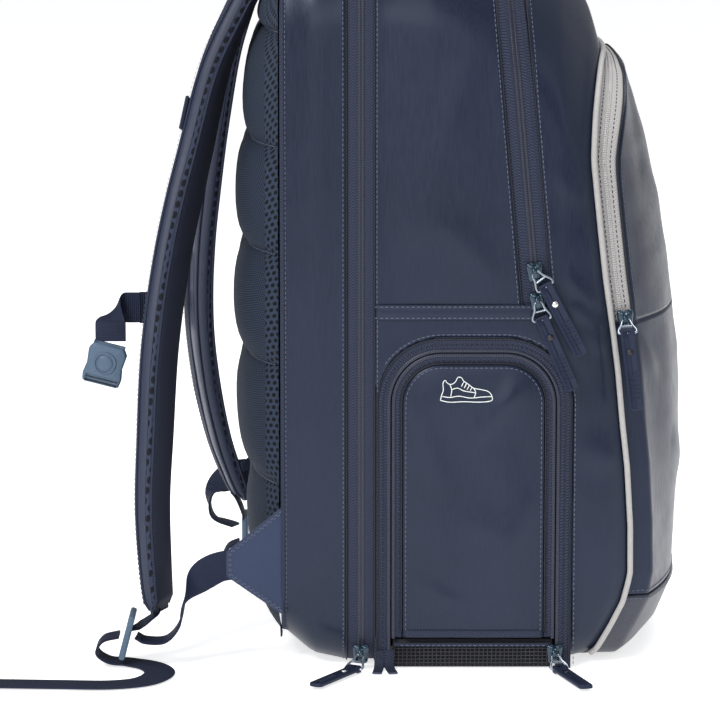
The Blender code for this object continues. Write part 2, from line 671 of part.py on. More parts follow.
UP, OUT = (0.0, 0.0, 1.0), (0.0, 1.0, 0.0)
NEAR_LOWER_WEB = (((-0.1385, -0.1500, 0.0650), (-0.5, 0.0, 0.85)), ((-0.1500, -0.1505, 0.0570), (-0.4, 0.55, 0.6)),
                  ((-0.1585, -0.1500, 0.0440), OUT), ((-0.1620, -0.1490, 0.0280), OUT),
                  ((-0.1710, -0.1475, 0.0175), OUT), ((-0.1840, -0.1460, 0.0165), OUT),
                  ((-0.1905, -0.1455, 0.0195), OUT))
NEAR_TAIL = (((-0.2015, -0.1450, 0.0200), OUT), ((-0.2120, -0.1450, 0.0170), OUT), ((-0.2160, -0.1450, 0.0090), OUT),
             ((-0.2080, -0.1450, 0.0030), OUT), ((-0.1950, -0.1460, 0.0018), OUT),
             ((-0.1800, -0.1560, 0.0014), (0.7, 0.7, 0.0)), ((-0.1740, -0.1750, 0.0014), (1.0, 0.0, 0.0)),
             ((-0.1830, -0.1960, 0.0014), (0.7, -0.7, 0.0)), ((-0.2040, -0.2050, 0.0014), (0.1, -1.0, 0.0)),
             ((-0.2350, -0.2040, 0.0014), (0.0, -1.0, 0.0)), ((-0.2700, -0.2020, 0.0014), (0.0, -1.0, 0.0)),
             ((-0.3150, -0.2000, 0.0014), (0.0, -1.0, 0.0)))
FAR_LOWER_WEB = (((-0.1390, 0.1500, 0.0670), (-0.4, 0.3, 0.75)), ((-0.1520, 0.1440, 0.0560), (-0.15, 0.9, 0.3)),
                 ((-0.1500, 0.1340, 0.0410), OUT), ((-0.1345, 0.1290, 0.0350), OUT))
FAR_TAIL = (((-0.1320, 0.1260, 0.0240), OUT), ((-0.1400, 0.1260, 0.0200), OUT), ((-0.1430, 0.1270, 0.0110), OUT),
            ((-0.1360, 0.1290, 0.0030), OUT), ((-0.1200, 0.1400, 0.0015), (-0.6, 0.8, 0.0)),
            ((-0.1010, 0.1610, 0.0014), (-0.65, 0.75, 0.0)), ((-0.0750, 0.1790, 0.0014), (-0.4, 0.9, 0.0)),
            ((-0.0350, 0.1870, 0.0014), (-0.1, 1.0, 0.0)), ((0.0250, 0.1880, 0.0014), OUT))
FAR_STERNUM = (((-0.1710, 0.0800, 0.2380), OUT), ((-0.1750, 0.0810, 0.2320), OUT),
               ((-0.1770, 0.0830, 0.2220), OUT), ((-0.1770, 0.0850, 0.2120), OUT))
STERNUM_START = (-0.1890, -0.0920, 0.2270)
STERNUM_CURL = 0.0045


def near_sternum():
    """The near sternum webbing: out from the strap, curled half a turn on the slant, then hanging."""
    slant, rise = Vector((-1, 0, -1)).normalized(), Vector((-1, 0, 1)).normalized()
    toward = Vector((0, -1, 0))
    start = Vector(STERNUM_START)
    spine = [(start, Vector(UP))]
    begin = start + Vector((-0.009, 0, 0))
    for i in range(7):
        a = math.pi * i / 6
        turn = rise * math.cos(a) + toward * math.sin(a)
        spot = slant * a + rise * math.sin(a) + toward * (1 - math.cos(a))
        spine.append((begin + spot * STERNUM_CURL, turn - slant))
    last = spine[-1][0]
    spine.append((last + Vector((0, 0, -0.011)), Vector((1, 0, 0))))
    return spine


def ladder_lock(name, centre, face, look, group, pivot):
    """A ladder-lock adjuster: a plate with its webbing slots across Y, seen from the side of its face."""
    across = Vector(OUT)
    thick = Vector(face).normalized()
    tall = thick.cross(across).normalized()
    frame = Matrix((thick, across, tall)).transposed().to_4x4()
    frame.translation = Vector(centre)
    bm = bmesh.new()
    bmesh.ops.create_cube(bm, size=1.0, matrix=Matrix.Diagonal((0.0042, 0.0280, 0.0300, 1.0)))
    bmesh.ops.bevel(bm, geom=bm.edges[:], offset=0.0014, segments=2, profile=0.5, affect="EDGES")
    bmesh.ops.transform(bm, matrix=frame, verts=bm.verts)
    lock = mesh_object(name, bm, look, group)
    for number, offset in enumerate((-0.0072, 0.0, 0.0072)):
        cut = bmesh.new()
        place = frame @ Matrix.Translation((0, 0, offset)) @ Matrix.Diagonal((0.03, 0.0215, 0.0042, 1.0))
        bmesh.ops.create_cube(cut, size=1.0, matrix=place)
        boolean(lock, mesh_object(f"{name}_slot_{number}", cut, None, bpy.data.collections["cutters"]), "DIFFERENCE")
    set_origin(lock, pivot)
    return lock


def buckle(name, end, along_web, face, look, group, pivot, male):
    """A side-release buckle half: the socket, or the plug with its two arms."""
    ahead = Vector(along_web).normalized()
    wide = Vector(face).cross(ahead).normalized()
    reach = 0.0076 if male else 0.0136
    frame = frame_from(wide, ahead, Vector(end) + ahead * (reach + 0.0020))
    cutters = bpy.data.collections["cutters"]
    bm = bmesh.new()
    size = (0.0260, 0.0260, 0.0075) if not male else (0.0240, 0.0140, 0.0065)
    bmesh.ops.create_cube(bm, size=1.0, matrix=Matrix.Diagonal((*size, 1.0)))
    bmesh.ops.bevel(bm, geom=bm.edges[:], offset=0.0020, segments=2, profile=0.5, affect="EDGES")
    bmesh.ops.transform(bm, matrix=frame, verts=bm.verts)
    obj = mesh_object(name, bm, look, group)

    def block(label, place, size, operation):
        made = bmesh.new()
        bmesh.ops.create_cube(made, size=1.0, matrix=frame @ Matrix.Translation(place) @ Matrix.Diagonal((*size, 1)))
        boolean(obj, mesh_object(f"{name}_{label}", made, None, cutters), operation)

    if male:
        block("slot", (0, -0.0035, 0), (0.0205, 0.0030, 0.02), "DIFFERENCE")
        for side in (-1, 1):
            block(f"arm_{side}", (side * 0.0085, 0.013, 0), (0.0040, 0.0160, 0.0042), "UNION")
        block("guide", (0, 0.013, 0), (0.0040, 0.0160, 0.0036), "UNION")
    else:
        block("socket", (0, 0.008, 0), (0.0190, 0.0200, 0.0046), "DIFFERENCE")
        block("slot", (0, -0.0095, 0), (0.0205, 0.0030, 0.02), "DIFFERENCE")
    set_origin(obj, pivot)
    return obj


def keeper(name, spine, at, side, look, group, pivot):
    """A webbing bridge across a strap's outer face, a little off it."""
    low = max(i for i, p in enumerate(spine) if p[2] > at)
    share = (spine[low][2] - at) / (spine[low][2] - spine[low + 1][2])
    centre = Vector(spine[low]).lerp(Vector(spine[low + 1]), share)
    down = (Vector(spine[low + 1]) - Vector(spine[low])).normalized()
    twist = math.radians(-STRAP_TWIST * 0.6)
    wide = Vector((-math.sin(twist), -side * math.cos(twist), 0.0))
    wide = (wide - down * wide.dot(down)).normalized()
    out = Vector((-1, 0, 0))
    out = (out - down * out.dot(down) - wide * out.dot(wide)).normalized()
    points = [centre + wide * (0.031 * share) + out * d for share, d in ((-1, 0.0098), (0, 0.0106), (1, 0.0098))]
    ribbon(name, [(p, down) for p in points], look, group, pivot, width=0.022, thick=0.0014)


def straps(parts):
    pad_look = material("navy_fabric", NAVY, 0.5)
    web = material("webbing", NAVY_DARK, 0.8)
    plastic = material("blue_plastic", PLASTIC_BLUE, 0.45)
    for side, label, spine in ((NEAR, "near", NEAR_STRAP), (FAR, "far", FAR_STRAP)):
        strap(f"shoulder_strap_{label}", spine, side, pad_look, parts, spine[0])
        keeper(f"strap_keeper_{label}", spine, 0.350, side, web, parts, spine[0])
    ribbon("lower_webbing_near", NEAR_LOWER_WEB, web, parts)
    ribbon("lower_webbing_far", FAR_LOWER_WEB, web, parts)
    ladder_lock("ladder_lock_near", (-0.1960, -0.1450, 0.0205), (0.97, 0.0, -0.25), plastic, parts, NEAR_STRAP[-1])
    ladder_lock("ladder_lock_far", (-0.1275, 0.1250, 0.0300), (1.0, 0.0, 0.0), plastic, parts, FAR_STRAP[-1])
    ribbon("web_tail_near", NEAR_TAIL, web, parts)
    ribbon("web_tail_far", FAR_TAIL, web, parts)
    near_web, far_end = near_sternum(), FAR_STERNUM[-1][0]
    ribbon("sternum_web_near", near_web, web, parts, STERNUM_START)
    buckle("sternum_socket", near_web[-1][0], (-0.25, 0.0, -0.97), (0, 1, 0), plastic, parts, STERNUM_START, False)
    ribbon("sternum_web_far", FAR_STERNUM, web, parts, FAR_STERNUM[0][0])
    buckle("sternum_plug", far_end, (0.0, 0.2, -1.0), (-1, 0, 0), plastic, parts, FAR_STERNUM[0][0], True)


# ---------------------------------------------------------------- zip pulls
def frame_from(wide, ahead, origin):
    wide, ahead = Vector(wide).normalized(), Vector(ahead).normalized()
    out = wide.cross(ahead).normalized()
    made = Matrix((wide, ahead, out)).transposed().to_4x4()
    made.translation = Vector(origin)
    return made


def zip_slider(name, spot, zip_way, outward, look, group):
    """The slider's body with its bail. spot is the point on the tape's face under its middle."""
    ahead, out = Vector(zip_way).normalized(), Vector(outward).normalized()
    wide = ahead.cross(out)
    frame = frame_from(wide, ahead, Vector(spot) + out * 0.0019)
    bm = bmesh.new()
    bmesh.ops.create_cube(bm, size=1.0, matrix=Matrix.Diagonal((0.0098, 0.0125, 0.0026, 1.0)))
    bmesh.ops.bevel(bm, geom=bm.edges[:], offset=0.0009, segments=2, profile=0.5, affect="EDGES")
    bmesh.ops.transform(bm, matrix=frame, verts=bm.verts)
    obj = mesh_object(name, bm, look, group)
    arc = [frame @ Vector((0.0, 0.0035 * math.cos(a), 0.0004 + 0.0056 * math.sin(a)))
           for a in (math.pi * i / 8 for i in range(9))]
    bail = tube(name + "_bail", arc, 0.0008, None, bpy.data.collections["cutters"])
    boolean(obj, bail, "UNION")
    set_origin(obj, spot)
    return obj


def pull_ring(name, pivot, axis, way, look, group):
    """The wire ring between the slider's bail and the tab: narrow at the bail, wide at the tab."""
    frame = frame_from(axis, way, pivot)
    shape = ((-0.0032, 0.0009), (-0.0024, 0.0), (0.0024, 0.0), (0.0032, 0.0009),
             (0.0049, 0.0085), (0.0050, 0.0105), (0.0042, RING_LENGTH), (-0.0042, RING_LENGTH),
             (-0.0050, 0.0105), (-0.0049, 0.0085))
    return tube(name, [frame @ Vector((x, y, 0.0)) for x, y in shape], 0.00075, look, group, True, pivot)


def pull_tab(name, pivot, axis, way, look, group):
    """The folded tab: a flat strip with a rolled eye round the ring's bar."""
    frame = frame_from(axis, way, pivot)
    cutters = bpy.data.collections["cutters"]
    half = 0.0031
    profile = [(-0.0024, 0.0), (-0.0017, 0.0018), (0.0, 0.0024), (0.0040, 0.0017), (0.0100, 0.0013),
               (TAB_LENGTH, 0.0012), (TAB_LENGTH, -0.0012), (0.0100, -0.0013), (0.0040, -0.0017),
               (0.0, -0.0024), (-0.0017, -0.0018)]
    rings = []
    for x in (-half, half):
        rings.append([frame @ Vector((x, y, z)) for y, z in profile])
    tab = loft(name, rings, look, group)
    end = TAB_LENGTH + 0.0004
    strip = [(0.0062, 0.0011), (end, 0.0011), (end, -0.0011), (0.0062, -0.0011)]
    wide = [[frame @ Vector((x, y, z)) for y, z in strip] for x in (-TAB_WIDTH / 2, TAB_WIDTH / 2)]
    boolean(tab, loft(name + "_wide", wide, None, cutters), "UNION")
    bm = bmesh.new()
    turn = Matrix.Rotation(math.pi / 2, 4, "Y")
    bmesh.ops.create_cone(bm, cap_ends=True, segments=10, radius1=0.0014, radius2=0.0014, depth=0.02,
                          matrix=frame @ turn)
    boolean(tab, mesh_object(name + "_eye", bm, None, cutters), "DIFFERENCE")
    set_origin(tab, pivot)
    return tab


def puller(label, spot, zip_way, outward, ring_way, tab_way, parts):
    """Slider, ring and tab, each with its origin on its joint's axis."""
    metal = material("slider_metal", GUNMETAL, 0.3, 0.8)
    rubber = material("pull_rubber", NAVY_DARK, 0.55)
    out = Vector(outward).normalized()
    ring_way, tab_way = Vector(ring_way).normalized(), Vector(tab_way).normalized()
    lying = abs(tab_way.dot(out)) > 0.5
    ring_axis = ring_way.cross(tab_way).normalized() if lying else ring_way.cross(out).normalized()
    tab_axis = ring_axis if lying else tab_way.cross(out).normalized()
    zip_slider(f"{label}_slider", spot, zip_way, outward, metal, parts)
    ring_pivot = Vector(spot) + out * BAIL_HEIGHT
    pull_ring(f"{label}_ring", ring_pivot, ring_axis, ring_way, metal, parts)
    tab_pivot = ring_pivot + ring_way * RING_LENGTH
    pull_tab(f"{label}_tab", tab_pivot, tab_axis, tab_way, rubber, parts)


def hanging(degrees):
    """A direction that hangs down the side, swung towards the bag's front."""
    a = math.radians(degrees)
    return (math.sin(a), 0.0, -math.cos(a))


def main():
    clear_scene()
    parts, cutters = collection("racket_backpack"), collection("cutters")
    main_compartment(parts, cutters)
    shoe_door(parts, (0.028, -0.1546, DOOR_HINGE_Z - 0.0005))
    front_pocket(parts, cutters, (0.166, 0.0, POCKET_FOLD_Z), (0.1655, 0.0, POCKET_FOLD_Z))
    racket_pivot = (RACKET_ZIP_X, 0.0, 0.0)
    racket_compartment(parts, racket_pivot)
    haul_handle(parts, (HANDLE_X, 0.0, HANDLE_HINGE_Z))
    straps(parts)
    lean = (MAIN_ZIP_LEAN, 0.0, 1.0)
    side = (0.0, -1.0, 0.0)
    y = -HALF_WIDTH
    puller("main_a", (MAIN_ZIP_X + MAIN_ZIP_LEAN * 0.0225, y, FOLD_Z + 0.0225), lean, side, hanging(38),
           hanging(28), parts)
    puller("main_b", (MAIN_ZIP_X, y, FOLD_Z + 0.0035), lean, side, hanging(14), hanging(24), parts)
    puller("pocket", (0.1255, -0.1405, POCKET_FOLD_Z + 0.0020), (-0.1, 0.0, 1.0), side, (0.05, -0.8, -0.6),
           (0.12, -0.15, -0.985), parts)
    for label, x, way in (("racket", RACKET_ZIP_X, (-0.5, -0.866)), ("shoe", DOOR_RIGHT_X - DOOR_COIL, (0.3, -0.954))):
        ring_way = (0.8 * way[0], 0.8 * way[1], -0.6)
        puller(label, (x, y, 0.0099), (0, 0, 1), side, ring_way, (*way, 0.0), parts)
    cutters.hide_render = True


main()
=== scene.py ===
"""Racket backpack: satin coated shell, mesh back, woven zips, webbing and moulded fittings."""

import json
import math

import bmesh
import bpy
import numpy as np
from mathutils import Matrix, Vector
from mathutils.bvhtree import BVHTree

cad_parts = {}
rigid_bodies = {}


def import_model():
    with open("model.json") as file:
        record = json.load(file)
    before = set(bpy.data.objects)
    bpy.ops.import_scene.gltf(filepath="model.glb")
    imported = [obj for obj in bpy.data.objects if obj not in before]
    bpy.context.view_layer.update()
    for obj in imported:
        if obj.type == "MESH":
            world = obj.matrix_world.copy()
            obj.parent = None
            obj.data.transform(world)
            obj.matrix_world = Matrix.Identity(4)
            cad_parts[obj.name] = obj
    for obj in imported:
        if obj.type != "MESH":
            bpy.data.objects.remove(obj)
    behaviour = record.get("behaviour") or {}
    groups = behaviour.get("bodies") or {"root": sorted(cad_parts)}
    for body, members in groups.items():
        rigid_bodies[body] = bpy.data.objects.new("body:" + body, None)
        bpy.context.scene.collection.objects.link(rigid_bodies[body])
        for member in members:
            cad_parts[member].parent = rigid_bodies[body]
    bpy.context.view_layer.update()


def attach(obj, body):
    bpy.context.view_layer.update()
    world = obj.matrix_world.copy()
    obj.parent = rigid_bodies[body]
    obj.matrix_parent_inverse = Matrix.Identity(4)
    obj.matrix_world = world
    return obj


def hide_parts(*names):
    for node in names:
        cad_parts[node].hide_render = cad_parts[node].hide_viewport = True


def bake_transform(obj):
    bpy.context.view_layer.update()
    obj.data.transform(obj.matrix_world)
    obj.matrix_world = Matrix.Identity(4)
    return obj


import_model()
scene = bpy.context.scene

# ------------------------------------------------------------------ sizes repeated from the CAD
BACK_X, TAPE_REAR_X, TAPE_FRONT_X = -0.094, -0.0515, -0.0355
FOLD_Z, BASE_SEAM_Z, POCKET_FOLD_Z = 0.237, 0.045, 0.2255
ZIP_X, ZIP_LEAN, ZIP_HALF = 0.0684, -0.092, 0.0098
PIPING_W, POCKET_W, POCKET_TOP = 0.142, 0.138, 0.385
SIDE_Y = 0.155
PIPING_LINE = ((0.003, 0.099), (0.0095, 0.107), (0.025, 0.116), (0.042, 0.1245), (0.060, 0.1288),
               (0.092, 0.1285),
               (0.131, 0.126), (0.161, 0.1225), (0.193, 0.1195), (0.223, 0.1155), (0.253, 0.111),
               (0.288, 0.107),
               (0.330, 0.1025), (0.358, 0.102), (0.390, 0.102))
FRONT_LINE = ((0.003, 0.136), (0.008, 0.145), (0.020, 0.157), (0.042, 0.1655), (0.092, 0.1685),
              (0.124, 0.1698),
              (0.159, 0.1704), (0.193, 0.1692), (0.235, 0.1639), (0.262, 0.1609), (0.293, 0.1551),
              (0.335, 0.1471), (0.361, 0.1387), (0.381, 0.1304), (0.390, 0.124))
NEAR_STRAP = ((-0.1035, -0.050, 0.470), (-0.1050, -0.051, 0.458), (-0.1140, -0.053, 0.440),
              (-0.1240, -0.055, 0.420), (-0.1400, -0.060, 0.382), (-0.1525, -0.068, 0.330),
              (-0.1665, -0.083, 0.268), (-0.1755, -0.100, 0.205), (-0.1790, -0.112, 0.143),
              (-0.1805, -0.120, 0.100), (-0.1785, -0.126, 0.058), (-0.1760, -0.129, 0.032))
FAR_STRAP = ((-0.1035, 0.050, 0.470), (-0.1050, 0.051, 0.458), (-0.1140, 0.053, 0.440),
             (-0.1240, 0.055, 0.420), (-0.1365, 0.060, 0.380), (-0.1470, 0.068, 0.325),
             (-0.1560, 0.080, 0.258), (-0.1585, 0.092, 0.200), (-0.1545, 0.102, 0.150),
             (-0.1465, 0.110, 0.108), (-0.1380, 0.114, 0.080), (-0.1300, 0.116, 0.060))


# ------------------------------------------------------------------ materials
class Net:
    """A material's node tree, with short calls for the nodes it is made of."""

    def __init__(self, name, colour, rough=0.5, metallic=0.0, **sockets):
        self.mat = bpy.data.materials.new(name)
        self.mat.use_nodes = True
        self.tree = self.mat.node_tree
        self.shader = self.tree.nodes["Principled BSDF"]
        self.shader.inputs["Base Color"].default_value = (*colour, 1)
        self.shader.inputs["Roughness"].default_value = rough
        self.shader.inputs["Metallic"].default_value = metallic
        for key, value in sockets.items():
            self.shader.inputs[key.replace("_", " ")].default_value = value
        self.colour = colour
        self.height = None

    def node(self, kind, **settings):
        made = self.tree.nodes.new("ShaderNode" + kind)
        for key, value in settings.items():
            setattr(made, key, value)
        return made

    def link(self, out, into):
        self.tree.links.new(out, into)

    def put(self, node, index, value):
        if isinstance(value, (int, float)):
            node.inputs[index].default_value = value
        else:
            self.link(value, node.inputs[index])

    def math(self, operation, a, b=0.0, c=0.0, clamp=False):
        made = self.node("Math", operation=operation, use_clamp=clamp)
        for i, v in enumerate((a, b, c)):
            self.put(made, i, v)
        return made.outputs[0]

    def place(self):
        return self.node("TexCoord").outputs["Object"]

    def uv(self):
        split = self.node("SeparateXYZ")
        self.link(self.node("TexCoord").outputs["UV"], split.inputs[0])
        return split.outputs[0], split.outputs[1]

    def scaled(self, x, y, z):
        mapping = self.node("Mapping")
        self.link(self.place(), mapping.inputs[0])
        mapping.inputs["Scale"].default_value = (x, y, z)
        return mapping.outputs[0]

    def noise(self, scale, detail=3.0, stretch=(1, 1, 1)):
        made = self.node("TexNoise")
        self.link(self.scaled(*(scale * s for s in stretch)), made.inputs["Vector"])
        made.inputs["Scale"].default_value = 1.0
        made.inputs["Detail"].default_value = detail
        return made.outputs["Fac"]

    def wave(self, value, pitch):
        """A sine from 0 to 1 along a length in metres."""
        turn = self.math("SINE", self.math("MULTIPLY", value, 2 * math.pi / pitch))
        return self.math("MULTIPLY_ADD", turn, 0.5, 0.5)

    def remap(self, value, low, high):
        made = self.node("MapRange")
        self.put(made, 0, value)
        made.inputs[1].default_value = 0.0
        made.inputs[2].default_value = 1.0
        made.inputs[3].default_value = low
        made.inputs[4].default_value = high
        return made.outputs[0]

    def step(self, value, low, high):
        made = self.node("MapRange", interpolation_type="SMOOTHSTEP")
        self.put(made, 0, value)
        made.inputs[1].default_value = low
        made.inputs[2].default_value = high
        return made.outputs[0]

    def tint(self, factor, dark=0.75, light=1.25, other=None):
        """The base colour times a factor's range, or mixed towards another colour."""
        mix = self.node("Mix", data_type="RGBA")
        low = tuple(min(1.0, c * dark) for c in self.colour)
        high = other or tuple(min(1.0, c * light) for c in self.colour)
        mix.inputs[6].default_value = (*low, 1)
        mix.inputs[7].default_value = (*high, 1)
        self.put(mix, 0, factor)
        self.link(mix.outputs[2], self.shader.inputs["Base Color"])
        return self

    def rough(self, factor, low, high):
        self.link(self.remap(factor, low, high), self.shader.inputs["Roughness"])
        return self

    def bump(self, factor, distance, strength=1.0):
        made = self.node("Bump")
        made.inputs["Strength"].default_value = strength
        made.inputs["Distance"].default_value = distance
        self.link(factor, made.inputs["Height"])
        if self.height is not None:
            self.link(self.height, made.inputs["Normal"])
        self.height = made.outputs[0]
        self.link(self.height, self.shader.inputs["Normal"])
        return self

    def holes(self, u, v, pitch_u, pitch_v, size, soft=0.12):
        """1 on the threads and 0 in the holes of a staggered mesh; u and v in metres."""
        row = self.math("DIVIDE", v, pitch_v)
        odd = self.math("MODULO", self.math("FLOOR", row), 2.0)
        column = self.math("ADD", self.math("DIVIDE", u, pitch_u), self.math("MULTIPLY", odd, 0.5))
        x = self.math("SUBTRACT", self.math("FRACT", column), 0.5)
        y = self.math("SUBTRACT", self.math("FRACT", row), 0.5)
        d = self.math("SQRT", self.math("ADD", self.math("MULTIPLY", x, x), self.math("MULTIPLY", y, y)))
        return self.step(d, size, size + soft)


def satin(name, colour=(0.0105, 0.0146, 0.0310), rough=(0.28, 0.40)):
    n = Net(name, colour, 0.42, Specular_IOR_Level=0.34, Specular_Tint=(0.76, 0.85, 1.0, 1))
    streak = n.noise(1.0, 3, (1500, 1500, 90))
    cloud = n.noise(9, 2)
    blend = n.math("ADD", n.math("MULTIPLY", streak, 0.55), n.math("MULTIPLY", cloud, 0.45))
    n.tint(n.step(blend, 0.32, 0.68), 0.80, 1.25)
    n.rough(n.step(streak, 0.3, 0.7), *rough)
    n.bump(n.noise(1.0, 2, (1600, 1600, 120)), 0.00010, 0.30)
    n.bump(n.noise(30, 3, (1, 1, 0.55)), 0.0022, 0.22)
    return n.mat


def zip_tape(name, colour, contrast=0.35):
    n = Net(name, colour, 0.72, Specular_IOR_Level=0.2)
    u, v = n.uv()
    zigzag = n.math("ABSOLUTE", n.math("SUBTRACT", n.math("FRACT", n.math("DIVIDE", v, 0.0044)), 0.5))
    twill = n.wave(n.math("ADD", u, n.math("MULTIPLY", zigzag, 0.0046)), 0.0019)
    n.tint(twill, 1 - contrast, 1 + contrast)
    n.bump(twill, 0.00022, 0.8)
    n.bump(n.noise(600, 2), 0.0001, 0.4)
    return n.mat


def webbing(name, colour, pitch=0.00125):
    n = Net(name, colour, 0.62, Specular_IOR_Level=0.2)
    u, v = n.uv()
    rib = n.wave(u, pitch)
    cross = n.wave(v, 0.0022)
    weave = n.math("MULTIPLY", rib, n.math("MULTIPLY_ADD", cross, 0.35, 0.65))
    n.tint(weave, 0.45, 1.45)
    n.bump(weave, 0.00035, 0.9)
    return n.mat


def hole_mesh(name, colour, pitch, size, dark=0.10):
    n = Net(name, colour, 0.8, Sheen_Weight=0.3)
    u, v = n.uv()
    threads = n.holes(u, v, pitch[0], pitch[1], size)
    fine = n.wave(n.math("ADD", u, v), 0.0011)
    n.tint(n.math("MULTIPLY", threads, n.math("MULTIPLY_ADD", fine, 0.35, 0.65)), dark, 1.3)
    n.bump(threads, 0.0007, 1.0)
    return n.mat


def plain_cloth(name, colour, pitch=0.0009, rough=0.7):
    n = Net(name, colour, rough, Sheen_Weight=0.2)
    x = n.node("SeparateXYZ")
    n.link(n.place(), x.inputs[0])
    flat = n.math("ADD", x.outputs[0], x.outputs[1])
    weave = n.math("MULTIPLY", n.wave(flat, pitch), n.wave(x.outputs[2], pitch))
    n.tint(n.math("ADD", n.math("MULTIPLY", weave, 0.5), n.math("MULTIPLY", n.noise(30, 3), 0.5)), 0.7, 1.3)
    n.bump(weave, 0.0001, 0.6)
    return n.mat


def hard(name, colour, rough=0.4, metallic=0.0, grain=900, depth=0.00004, **sockets):
    n = Net(name, colour, rough, metallic, **sockets)
    speck = n.noise(grain, 3)
    n.tint(speck, 0.88, 1.12)
    n.rough(n.noise(60, 3), max(0.05, rough - 0.08), rough + 0.08)
    n.bump(speck, depth, 0.5)
    return n.mat


SATIN = satin("satin_fabric")
SATIN_STRAP = satin("strap_satin", (0.019, 0.025, 0.048))
TAPE = zip_tape("navy_zip_tape", (0.025, 0.031, 0.056), 0.55)
TAPE_PALE = zip_tape("pale_zip_tape", (0.38, 0.368, 0.365), 0.16)
COIL = hard("navy_coil", (0.020, 0.024, 0.046), 0.42)
COIL_PALE = hard("pale_coil", (0.46, 0.45, 0.445), 0.45)
PIPING = hard("pale_piping", (0.40, 0.39, 0.385), 0.5, grain=300, Specular_IOR_Level=0.2)
THREAD = hard("thread", (0.090, 0.105, 0.160), 0.6)
# near-black thread for dark stitches and seams; also used for lines of painted shade in the zip gaps and
# quilting grooves
THREAD_DARK_AND_SHADE = hard("dark_thread_and_shade", (0.006, 0.007, 0.014), 0.7)
WEB = webbing("ribbed_webbing", (0.016, 0.022, 0.050))
WING = plain_cloth("wing_twill", (0.012, 0.026, 0.076))
MESH_FINE = hole_mesh("fine_rib_mesh", (0.016, 0.022, 0.042), (0.0024, 0.0016), 0.24, 0.22)
VENT = hard("vent_strands", (0.012, 0.012, 0.018), 0.5)
LINING = plain_cloth("lining_cloth", (0.075, 0.085, 0.11))
BOARD = hard("board_plastic", (0.05, 0.055, 0.07), 0.6, grain=400)
PLASTIC = hard("slate_plastic", (0.062, 0.105, 0.165), 0.40, grain=1500)
LACQUER = hard("lacquered_metal", (0.012, 0.036, 0.062), 0.22, 0.5, Coat_Weight=0.5)
STEEL = hard("gunmetal_wire", (0.30, 0.34, 0.40), 0.28, 0.9)
RUBBER = hard("pull_rubber", (0.012, 0.018, 0.042), 0.55, grain=1200, Specular_IOR_Level=0.25)
RIVET = hard("silver_rivet", (0.75, 0.75, 0.72), 0.25, 1.0)
RIVET_DARK = hard("dark_rivet", (0.045, 0.042, 0.045), 0.35, 0.8)
INK = hard("white_print", (0.80, 0.83, 0.82), 0.5)
# near-black, painted shade: behind the vent strands and between the sternum socket's ribs
PAINTED_SHADE = hard("painted_shade_inside", (0.010, 0.011, 0.016), 0.8)


def leatherette():
    n = Net("leatherette", (0.030, 0.034, 0.050), 0.38)
    grain = n.node("TexVoronoi")
    n.link(n.scaled(700, 700, 700), grain.inputs["Vector"])
    grain.inputs["Scale"].default_value = 1.0
    n.tint(grain.outputs["Distance"], 1.25, 0.8)
    n.bump(grain.outputs["Distance"], 0.00025, 0.6)
    n.rough(n.noise(25, 3), 0.30, 0.50)
    return n.mat


LEATHER = leatherette()


# ------------------------------------------------------------------ mesh helpers
def new_object(name, mesh, material=None):
    obj = bpy.data.objects.new(name, mesh)
    scene.collection.objects.link(obj)
    if material is not None:
        for one in material if isinstance(material, (list, tuple)) else (material,):
            mesh.materials.append(one)
    return obj


def grid_object(name, grid, material, cyclic=(False, False)):
    """A smooth sheet through a grid of points, with UVs in metres: u along a row, v from row to row."""
    grid = np.asarray(grid, float)
    rows, cols = grid.shape[:2]
    mesh = bpy.data.meshes.new(name)
    index = np.arange(rows * cols).reshape(rows, cols)
    last_r, last_c = rows - (not cyclic[0]), cols - (not cyclic[1])
    faces = []
    for i in range(last_r):
        for j in range(last_c):
            k, m = (i + 1) % rows, (j + 1) % cols
            faces.append((index[i, j], index[i, m], index[k, m], index[k, j]))
    mesh.from_pydata(grid.reshape(-1, 3).tolist(), [], [tuple(int(a) for a in f) for f in faces])
    wrapped = np.concatenate([grid, grid[:, :1]], 1)
    along = np.concatenate([np.zeros((rows, 1)),
                            np.cumsum(np.linalg.norm(np.diff(wrapped, axis=1), axis=2), 1)], 1)
    along -= along[:, cols // 2:cols // 2 + 1]
    wrapped = np.concatenate([grid, grid[:1]], 0)
    across = np.concatenate([np.zeros((1, cols)),
                             np.cumsum(np.linalg.norm(np.diff(wrapped, axis=0), axis=2), 0)], 0)
    layer = mesh.uv_layers.new(name="UVMap")
    values = []
    for i in range(last_r):
        for j in range(last_c):
            for a, b in ((i, j), (i, j + 1), (i + 1, j + 1), (i + 1, j)):
                values += [along[a % rows, b], across[a, b % cols]]
    layer.data.foreach_set("uv", values)
    mesh.polygons.foreach_set("use_smooth", [True] * len(mesh.polygons))
    mesh.update()
    return new_object(name, mesh, material)


def thicken(obj, thickness, offset=-1.0, inside=(0.02, 0.0, 0.25)):
    """Gives a sheet its thickness, inwards from the surface it was drawn on."""
    outwards = sum(p.area * p.normal.dot(p.center - Vector(inside)) for p in obj.data.polygons)
    if outwards < 0:
        obj.data.flip_normals()
    solid = obj.modifiers.new("thickness", "SOLIDIFY")
    solid.thickness = thickness
    solid.offset = offset
    solid.use_even_offset = False
    return obj


def smooth(points, steps=6):
    """A Catmull-Rom curve through the points."""
    points = [np.asarray(p, float) for p in points]
    padded = [2 * points[0] - points[1], *points, 2 * points[-1] - points[-2]]
    made = []
    for a, b, c, d in zip(padded, padded[1:], padded[2:], padded[3:]):
        for i in range(steps):
            t = i / steps
            made.append(0.5 * (2 * b + (c - a) * t + (2 * a - 5 * b + 4 * c - d) * t * t
                               + (3 * b - 3 * c + d - a) * t ** 3))
    return np.array(made + [points[-1]])


